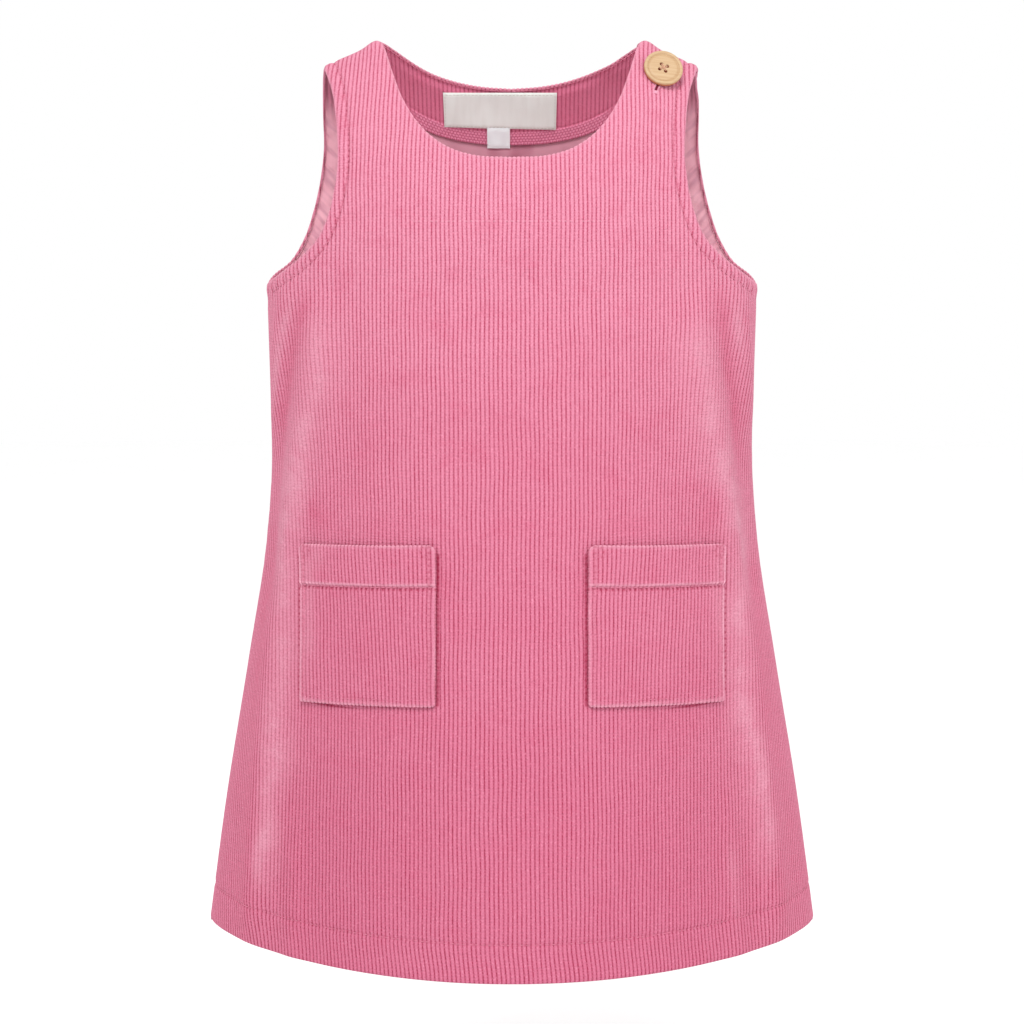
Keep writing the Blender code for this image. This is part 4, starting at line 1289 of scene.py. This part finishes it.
def corduroy_paint(name, crest, groove, low_crest, low_groove, strip=False):
    paint = Paint(
        name, Sheen_Weight=0.10, Sheen_Roughness=0.45, Sheen_Tint=(1.0, 0.72, 0.80, 1.0),
        Specular_IOR_Level=0.15,
    )
    wale, down, across = paint.parts(paint.attribute("cloth", "Vector"))
    from_seam, along, depth = paint.parts(paint.attribute("seam", "Vector"))
    rub = paint.attribute("rub")
    from_crest = wale.zigzag()
    weave = paint.flat_noise(wale * 1.3, down * 260.0)
    knot = paint.flat_noise(wale * 1.9, down * 430.0, 2.0, 0.6)
    streak = paint.flat_noise(wale * 0.9, down * 42.0, 3.0, 0.6)
    patch = paint.flat_noise(across * 50.0, down * 62.0, 4.0, 0.66)
    cloud = paint.flat_noise(across * 9.0, down * 13.0)
    fuzz = paint.flat_noise(wale * 3.2, down * 900.0, 3.0, 0.6)
    grain = paint.noise(paint.position(), 1100.0, 3.0, 0.6)
    bead = ((down * (2 * math.pi / BEAD) + weave * 9.0).sin() + 1.0) * 0.27 + knot.rising(0.38, 0.60) * 0.50
    # grooves, partly their own colour and partly painted shade, with more painted shade towards the sides
    # of the dress, and beads of ground weave in them
    at_side = across.absolute().rising(0.10, 0.17)
    deep = from_crest.rising(bead * 0.55 + 0.04, 1.0) * (0.30 + bead * 0.80)
    deep = (deep * (0.34 + streak * 1.10 + patch * 0.36 + at_side * 0.25)).held()
    # painted shade: the colours darken from the chest down the skirt, broken by soft clouds
    low = down.rising(0.05, 0.30) * 0.72 + down.rising(0.25, 0.45) * 0.28 + (cloud - 0.5) * 0.5
    base = paint.mix(deep, paint.mix(low, crest, low_crest), paint.mix(low, groove, low_groove))
    # darker, saturated nap: painted shade in the folds' troughs, near the sides and by the pockets, and
    # random patches where the nap lies the other way
    shade_and_nap = (0.0 - rub).held() * 0.75 + patch.rising(0.50, 0.72) * 0.34 + streak.rising(0.52, 0.78) * 0.18
    base = paint.mix(shade_and_nap * (1.0 - deep), base, tinted(low_crest, (0.94, 0.72, 0.78)))
    # paler ridges, partly worn and partly painted sheen, and the paler crests right on a turned edge,
    # partly worn and partly a painted highlight
    mottled = 0.66 + patch.rising(0.40, 0.62) * 0.55
    pale = rub.held() * (0.20 + grain * 1.35) * mottled * (1.0 - from_crest.rising(0.55, 1.0) * 0.25)
    base = paint.mix(pale, base, WORN_AND_SHEEN)
    edge = (rub - 1.0).held() * (1.0 - from_crest.rising(0.45, 0.95)) * 0.95
    base = paint.mix(edge, base, EDGE_PALE)
    # painted shade in specks in the pile and between beads on the crests, and painted light in specks on
    # it and on the crests towards the sides
    between = (1.0 - from_crest.rising(0.2, 0.9)) * (1.0 - bead).rising(0.5, 1.0) * 0.12
    base = paint.mix(fuzz.rising(0.42, 0.66) * 0.26 + between, base, tinted(low_crest, 0.66))
    lit = grain.rising(0.52, 0.80) * 0.55 + at_side * 0.15
    base = paint.mix(lit * (1.0 - deep), base, tinted(crest, 1.20))
    height = fuzz * 0.20 + grain * 0.35 + bead * (0.35 + from_crest * 0.65)
    if strip:
        base, beads = overlocked(paint, base, crest, groove, across, from_seam, grain)
        height = height + beads * 1.2
    else:
        base = sewn_in(paint, base, low_groove, along, from_seam, depth, streak)
    return paint.use(
        Base_Color=base,
        Roughness=0.84 + fuzz * 0.12,
        Normal=paint.bump(height, 0.00050, 0.25 if strip else 0.7),
    )


corduroy = corduroy_paint("corduroy_nap", CREST, GROOVE, LOW_CREST_SHADED, LOW_GROOVE_SHADED)
for piece in (front, back, *pockets):
    piece.data.materials.append(corduroy)
facing.data.materials.append(
    corduroy_paint("corduroy_inside", INNER_CREST, INNER_GROOVE, INNER_CREST, INNER_GROOVE, strip=True)
)
print("corduroy mixed")

# %% [markdown]
# ## Lining cotton and satin ribbon
#
# The lining is a plain weave, too fine to see as threads at arm's length, so it is a whisper of
# bump with slow changes of tone. Satin ribbon has its threads along one way, with a soft gloss.


# %% Mix the lining and the ribbons
def inner_shade(paint, base, down, across):
    """The lining is in shade behind the neck and by the armholes, where its creases are darker still."""
    out = across.absolute()
    crease = paint.flat_noise((down + out * 1.3) * 150.0, (down - out) * 22.0)
    crease = crease.rising(0.42, 0.66) * out.rising(0.070, 0.084) * (1.0 - down.rising(0.13, 0.16))
    base = paint.mix(crease * 0.55, base, colour(178, 122, 142))
    dim = paint.flat_noise(across * 62.0, down * 18.0, 1.0)
    dim = dim.rising(0.42, 0.62) * (1.0 - out.rising(0.018, 0.040))
    behind = (1.0 - out.rising(0.050, 0.085)) * (1.0 - down.rising(0.085, 0.14)) * 0.95
    base = paint.mix(behind, base, paint.mix(dim, colour(200, 142, 158), colour(172, 102, 122)))
    # a turning of corduroy shows beside each armhole, near the shoulder
    turning = (down + (out - 0.087) * 2.0 + crease * 0.006).rising(0.038, 0.066)
    turning = (1.0 - turning) * out.rising(0.076, 0.079) * 0.85
    ribs = (across.wave(WALE) + 1.0) * 0.5
    return paint.mix(turning, base, paint.mix(ribs, colour(128, 52, 76), colour(182, 98, 124)))


def plain_weave(name, base, dark, threads, gloss, sheen, shaded=False):
    paint = Paint(name, Sheen_Weight=sheen, Sheen_Roughness=0.5, Specular_IOR_Level=0.25)
    _, down, across = paint.parts(paint.attribute("cloth", "Vector"))
    crossing = down.wave(threads) * across.wave(threads)
    slub = paint.flat_noise(across * 300.0, down * 40.0, 3.0)
    cloud = paint.noise(paint.position(), 30.0, 3.0)
    tone = slub.rising(0.35, 0.75) * 0.35 + cloud.rising(0.3, 0.7) * 0.65 + crossing * 0.08
    base = paint.mix(tone, base, dark)
    if shaded:
        base = inner_shade(paint, base, down, across)
    return paint.use(
        Base_Color=base,
        Roughness=gloss + slub * 0.15,
        Normal=paint.bump(crossing * 0.5 + slub, 0.00012, 0.5),
    )


cotton = plain_weave("lining_cotton", colour(236, 182, 194), colour(222, 160, 176), 0.0007, 0.60, 0.25, True)
for piece in linings:
    piece.data.materials.append(cotton)
print("lining mixed")

# %% [markdown]
# ## Neck label and size tag
#
# A woven ribbon label is sewn inside the back neck by its edges, with a small white tag caught under
# its lower edge. Both are left bare. Each is a thin strip with edges that lift very slightly, so
# it does not look painted on.

# %% Sew in the label and the tag
LABEL_LEFT = -0.0346
LABEL_WIDTH = 0.0580
LABEL_DOWN = 0.0362
LABEL_HEIGHT = 0.0200
TAG_LEFT = -0.0124
TAG_WIDTH = 0.0117
TAG_HEIGHT = 0.0105
LABEL_SKEW = 0.0014  # how much lower its right end hangs
SPACING = 0.0012  # of a ribbon's mesh


def ribbon(name, left, top, width, height, level, thick, curl, skew=0.0):
    """A thin closed strip inside the back, with its edges rounded over, sewn a little crooked by skew."""
    columns, rows = (max(6, int(size / SPACING)) + 1 for size in (width, height))
    u, v = np.meshgrid(np.linspace(0, 1, columns), np.linspace(0, 1, rows))
    edge = np.minimum(np.minimum(u, 1 - u) * width, np.minimum(v, 1 - v) * height)
    wave = 0.00012 * np.sin(u * 9.0 + 1.0) * np.sin(v * 5.0) + curl * v**2
    across = left + u * width - 0.5 * skew * (u - 0.5) * v
    down = top + v * height + skew * (u - 0.3) * v
    skin = level - thick * (0.35 + 0.65 * smooth_step(edge / 0.0006)) - wave
    sides = [form(BACK, across, down, out).reshape(-1, 3) for out in (skin, np.full_like(skin, level))]
    count = rows * columns
    quads = cells((rows, columns)).tolist()
    faces = [quad[::-1] for quad in quads] + [[point + count for point in quad] for quad in quads]
    edges = {(a, b) for quad in quads for a, b in zip(quad, quad[1:] + quad[:1])}
    faces += [(a, b, b + count, a + count) for a, b in sorted(edges) if (b, a) not in edges]
    piece = add_piece(name, np.concatenate(sides), faces)
    piece.data.set_sharp_from_angle(angle=math.radians(50))
    note(piece, "cloth", np.tile(np.stack([across / WALE, down, across], axis=-1).reshape(-1, 3), (2, 1)))
    return piece


label = ribbon(
    "label_ribbon", LABEL_LEFT, LABEL_DOWN, LABEL_WIDTH, LABEL_HEIGHT, FACING_LEVEL - 0.00005, 0.0008, 0.0,
    LABEL_SKEW,
)
tag = ribbon(
    "tag_ribbon", TAG_LEFT, LABEL_DOWN + LABEL_HEIGHT - 0.0006, TAG_WIDTH, TAG_HEIGHT + 0.0010,
    FACING_LEVEL - 0.0005, 0.0006, 0.0002,
)
cream_satin = plain_weave("label_satin", colour(240, 250, 244), colour(226, 234, 227), 0.0005, 0.38, 0.15)
white_satin = plain_weave("tag_satin", colour(240, 250, 250), colour(230, 240, 242), 0.0004, 0.42, 0.1)
label.data.materials.append(cream_satin)
tag.data.materials.append(white_satin)
stand_for("neck_label")
stand_for("size_tag")
print("label and tag sewn in, both bare")

# %% [markdown]
# ## Thread
#
# A stitch is a short plump piece of thread that dives into the cloth at both ends. All the stitches
# of a seam make one mesh: a ring of points swept along a small arch, again and again down the line.


# %% Run the stitches
STITCH_AT = np.array([0.0, 0.14, 0.38, 0.62, 0.86, 1.0])  # where along a stitch its rings lie,
STITCH_ARCH = np.array([-1.6, 0.1, 1.0, 1.0, 0.1, -1.6])  # how high each stands
STITCH_PLUMP = np.array([0.55, 0.9, 1.0, 1.0, 0.9, 0.55])  # and how thick it is


def tube(rings, sectors):
    """The faces of a row of rings, with a cap at each end."""
    starts = range(0, sectors * (rings - 1), sectors)
    around = [(k, (k + 1) % sectors) for k in range(sectors)]
    faces = [(r + a, r + b, r + b + sectors, r + a + sectors) for r in starts for a, b in around]
    last = sectors * (rings - 1)
    return faces + [tuple(range(sectors))[::-1], tuple(range(last, last + sectors))]


def stitches(name, runs, thread, length=STITCH, gap=STITCH_GAP, thick=0.00022, proud=0.00010):
    """Stitches along rows, each from its own end."""
    turns = np.arange(6) * math.pi / 3
    rings = []
    for points, outward, along in runs:
        for k in range(max(1, int(along[-1] / (length + gap)))):
            spots = k * (length + gap) + gap * 0.5 + STITCH_AT * length
            middle, way = (
                np.stack([np.interp(spots, along, line[:, axis]) for axis in range(3)], axis=1)
                for line in (points, outward)
            )
            way = unit(way)
            middle = middle + way * (STITCH_ARCH * proud)[:, None]
            ahead = unit(np.gradient(middle, axis=0))
            side = unit(np.cross(ahead, way))
            up = np.cross(side, ahead)
            spokes = np.cos(turns)[:, None] * side[:, None] + np.sin(turns)[:, None] * up[:, None]
            rings.append(middle[:, None] + (STITCH_PLUMP * thick)[:, None, None] * spokes)
    faces = [[36 * k + point for point in face] for k in range(len(rings)) for face in tube(6, 6)]
    piece = add_piece(name, np.concatenate(rings).reshape(-1, 3), faces)
    piece.data.materials.append(thread)
    print(f"{name}: {len(rings)} stitches")


def run_on(face, line, level):
    """A row on the cloth: its points, the way out at each and how far along the cut each lies."""
    line = np.asarray(line, float)
    points = form(face, *line.T, level)
    return points, unit(form(face, *line.T, level + 0.001) - points), run_along(line)


def thread_paint(name, base, dark):
    paint = Paint(name, Sheen_Weight=0.2, Specular_IOR_Level=0.3)
    twist = paint.noise(paint.position(), 2600.0, 2.0)
    return paint.use(Base_Color=paint.mix(twist, base, dark), Roughness=0.55 + twist * 0.2)


pink_thread = thread_paint("pink_thread", colour(208, 118, 144), colour(186, 96, 122))
tie_thread = thread_paint("tie_thread", colour(206, 160, 132), colour(188, 138, 110))
pale_thread = thread_paint("pale_thread", colour(232, 164, 184), colour(218, 142, 166))
cream_thread = thread_paint("cream_thread", colour(206, 200, 192), colour(186, 178, 172))
for face, word in ((FRONT, "front"), (BACK, "back")):
    rows = [run_on(face, line, -0.00055) for line, _ in stitch_lines(face)]
    stitches(f"{word}_topstitching", rows, pink_thread)

for half, node in ((1, "pocket_left"), (-1, "pocket_right")):
    level = POCKET_LEVEL - 0.00030
    kinds = [([BAND_ROW], POCKET_LEVEL), (SIDE_ROWS, level), (TOP_ROWS, level + BAND_PUFF)]
    rows = [run_on(FRONT, pocket_line(half, marks), at) for lines, at in kinds for marks in lines]
    stitches(f"{node}_stitching", rows, pink_thread, thick=0.00019)

# %% Sew the facing and the label
held_line = [(x, FACING_STITCH_DOWN + 0.0011) for x in np.linspace(-0.0487, 0.0449, 60)]
rows = [run_on(FRONT, held_line, -0.00012)]
stitches("front_facing_stitching", rows, pale_thread, 0.0017, 0.0011, 0.00016)

back_line = beside(facing_edge_line, FACING_STRIP + 0.0004)
rows = [run_on(BACK, back_line[back_line[:, 1] > 0.012], FACING_LEVEL + 0.00010)]
stitches("neck_facing_stitching", rows, pink_thread, 0.0017, 0.0008, 0.00015)

RIBBON_EDGE = 0.0009  # from the label's edge to its stitches
left, right = LABEL_LEFT + RIBBON_EDGE, LABEL_LEFT + LABEL_WIDTH - RIBBON_EDGE
top, foot = LABEL_DOWN + RIBBON_EDGE, LABEL_DOWN + LABEL_HEIGHT - RIBBON_EDGE
label_line = np.array([(left, top), (right, top), (right, foot), (left, foot), (left, top)])
u, v = ((label_line - (LABEL_LEFT, LABEL_DOWN)) / (LABEL_WIDTH, LABEL_HEIGHT)).T
label_line[:, 1] += LABEL_SKEW * (u - 0.3) * v
rows = [
    run_on(BACK, np.linspace(start, end, 31), FACING_LEVEL - 0.00085)
    for start, end in zip(label_line, label_line[1:])
]
rows = [(points, -way, along) for points, way, along in rows]
stitches("label_stitching", rows, cream_thread, 0.0013, 0.0006, 0.00010, 0.00004)

# %% [markdown]
# ## Button
#
# The button is turned from pale wood: a flat rim, a groove cut just inside it and a face with four
# holes. We turn it the same way, as rings round an axis, and push the holes down where they fall.
# A cross of thread through the holes holds it, and it stands a little steeper than the strap.

# %% Turn the button
BUTTON_ACROSS = 0.0747
BUTTON_DOWN = 0.0238
BUTTON_RADIUS = 0.0097
BUTTON_THICK = 0.0030
BUTTON_LIFT = 0.0020  # it stands on its thread
HOLE_OFFSET = 0.0022
HOLE_RADIUS = 0.00092
HOLE_EDGE = 0.0003
HOLE_DEPTH = 0.0021
BUTTON_TURN = math.radians(27)
# share of the radius, height below the rim's top: across its face, then round its edge
BUTTON_FACE = [
    (0.00, 0.00050), (0.30, 0.00046), (0.60, 0.00042), (0.70, 0.00046), (0.745, 0.00070), (0.77, 0.00075),
    (0.80, 0.00060), (0.83, 0.00022), (0.87, 0.00004), (0.91, 0.00000), (0.95, 0.00008),
]
BUTTON_SIDE = [
    (0.98, 0.00030), (0.995, 0.00070), (1.00, 0.00110), (0.995, 0.00190), (0.97, 0.00250), (0.92, 0.00285),
    (0.80, 0.00300),
]
SECTORS = 96

hole_turns = [BUTTON_TURN + k * math.pi / 2 for k in range(4)]
holes = [(HOLE_OFFSET * math.cos(turn), HOLE_OFFSET * math.sin(turn)) for turn in hole_turns]
shares = [*np.linspace(0.01, 0.60, 30), 0.65, 0.70, 0.745, 0.77, 0.80, 0.83, 0.87, 0.91, 0.95]
rings = [*zip(shares, np.interp(shares, *np.array(BUTTON_FACE).T)), *BUTTON_SIDE]
share, below = np.array(rings).T[:, :, None]
turns = 2 * math.pi * np.arange(SECTORS) / SECTORS
x, y = BUTTON_RADIUS * share * np.cos(turns), BUTTON_RADIUS * share * np.sin(turns)
from_hole = np.min([np.hypot(x - across, y - down) for across, down in holes], axis=0)
pit = HOLE_DEPTH * (1.0 - smooth_step((from_hole - HOLE_RADIUS + HOLE_EDGE) / HOLE_EDGE))
turned = np.stack([x, y, BUTTON_THICK / 2 - below - pit], axis=-1).reshape(-1, 3)

seat = Vector(form(FRONT, BUTTON_ACROSS, BUTTON_DOWN))
outward = (Vector(form(FRONT, BUTTON_ACROSS, BUTTON_DOWN, 0.01)) - seat).normalized()
print("strap faces", [round(x, 2) for x in outward])
axis = Vector((0.5 * outward.x, -0.86, 0.50)).normalized()
sideways = Vector((1.0, 0.0, 0.0))
sideways = (sideways - axis * sideways.dot(axis)).normalized()
to_seat = Matrix((sideways, axis.cross(sideways), axis)).transposed()
middle = seat + axis * (BUTTON_THICK / 2 + BUTTON_LIFT)
points = [middle + to_seat @ Vector(point) for point in turned]
faces = [(face[0], *face[:0:-1]) for face in tube(len(rings), SECTORS)]  # turned round, to face out
button = add_piece("button_wood", points, faces)
note(button, "turned", turned)
stand_for("button")

wood = Paint("button_wood", Specular_IOR_Level=0.4)
lathe = wood.attribute("turned", "Vector")
along_grain = {"Vector": lathe, "Rotation": (0.0, 0.0, 0.12), "Scale": (45.0, 900.0, 45.0)}
grain = wood.noise(wood.node("ShaderNodeMapping", {}, along_grain))
x, y, z = wood.parts(lathe)
radius = (x * x + y * y) ** 0.5
stops = [(0.30, colour(174, 140, 104)), (0.52, colour(182, 152, 116)), (0.74, colour(188, 160, 125))]
tone = wood.node("ShaderNodeValToRGB", {"stops": stops}, {"Fac": grain})
# painted shade in the four holes
pit = (1.0 - z.rising(0.0001, 0.0007)) * (1.0 - radius.rising(0.0045, 0.0050))
tone = wood.mix(pit, tone, colour(158, 84, 62))
# painted shade in the groove cut inside the rim
ring = radius.rising(0.0065, 0.0073) * (1.0 - radius.rising(0.0077, 0.0084))
tone = wood.mix(ring * 0.24, tone, colour(158, 116, 72))
# painted shade on the button's side, all round, where it turns away
side = radius.rising(0.0093, 0.0096) * (1.0 - z.rising(0.0002, 0.0010))
tone = wood.mix(side * 0.90, tone, colour(176, 106, 66))
button.data.materials.append(
    wood.use(Base_Color=tone, Roughness=0.42 + grain * 0.15, Normal=wood.bump(grain, 0.00005, 0.3))
)
print("button at", [round(x, 4) for x in middle])

# %% Tie the button and sew its buttonhole
ties = []
for first, second in ((0, 2), (1, 3)):
    start, end = np.array(holes[first]), np.array(holes[second])
    length = math.dist(start, end)
    beside_it = np.array([start[1] - end[1], end[0] - start[0]]) / length
    level = BUTTON_THICK / 2 - 0.00034 + (0.00018 if first else 0.0)
    for aside in (-0.00028, 0.00028):
        line = np.linspace(start, end, 7) + beside_it * aside
        line = np.array([middle + to_seat @ Vector((x, y, level)) for x, y in line])
        ties.append((line, np.tile(np.array(axis), (7, 1)), np.linspace(0.0, length, 7)))
stitches("button_thread", ties, tie_thread, length * 0.998, 0.0, 0.00020, 0.00008)

slit = smooth_line(BUTTONHOLE, 0.0003)
end = slit[-1]
knots = [  # short stitches side by side along both lips
    [(x + way * 0.00060, y), (x + way * 0.00150, y + 0.0001)]
    for x, y in slit[slit[:, 1] > 0.0300][::2]
    for way in (-1, 1)
]
for k in range(5):  # and a bar of stitches across its end
    y = end[1] + 0.0003 + 0.00035 * k
    knots.append([(end[0] - 0.0014, y + 0.0002 * (k % 2)), (end[0] + 0.0013, y - 0.0002 * (k % 2))])
rows = [run_on(FRONT, knot, 0.00002) for knot in knots]
rows = [(points, way, along / along[-1]) for points, way, along in rows]
stitches("buttonhole_stitching", rows, pale_thread, 1.0, 0.0, 0.00019, 0.00008)

# %% [markdown]
# ## Floor and light
#
# A plain pale floor and a bright even room, with one large soft light high at the front left and a
# weaker one at the right, so that the ribs and folds still model the form.

# %% Light the set
FLOOR_AT = -0.60
FLOOR_RADIUS = 6
turns = [2 * math.pi * k / 96 for k in range(96)]
edge = [(FLOOR_RADIUS * math.cos(turn), FLOOR_RADIUS * math.sin(turn), FLOOR_AT) for turn in turns]
floor = add_mesh("floor", edge, [range(96)])
paper = Paint("pale_floor", Specular_IOR_Level=0.1)
mottle = paper.noise(paper.position(), 3.0, 2.0)
floor.data.materials.append(
    paper.use(Base_Color=paper.mix(mottle, colour(255, 255, 255), colour(253, 253, 253)), Roughness=0.9)
)

room = bpy.data.worlds.new("room")
room.use_nodes = True
background = room.node_tree.nodes["Background"]
background.inputs["Color"].default_value = (1.0, 1.0, 1.0, 1.0)
background.inputs["Strength"].default_value = 1.0
bpy.context.scene.world = room


def soft_light(name, at, towards, size, power):
    data = bpy.data.lights.new(name, "AREA")
    data.shape = "DISK"
    data.size = size
    data.energy = power
    light = bpy.data.objects.new(name, data)
    light.location = at
    light.rotation_euler = (Vector(towards) - Vector(at)).to_track_quat("-Z", "Y").to_euler()
    bpy.context.scene.collection.objects.link(light)


soft_light("key", (-0.12, -1.30, 1.30), (0.0, -0.05, -0.12), 0.8, 23.0)
soft_light("fill", (1.4, -1.2, 0.6), (0.0, 0.0, -0.15), 1.2, 5.0)
bpy.context.scene.view_settings.view_transform = "Standard"
print("lit by the room, a key and a fill")
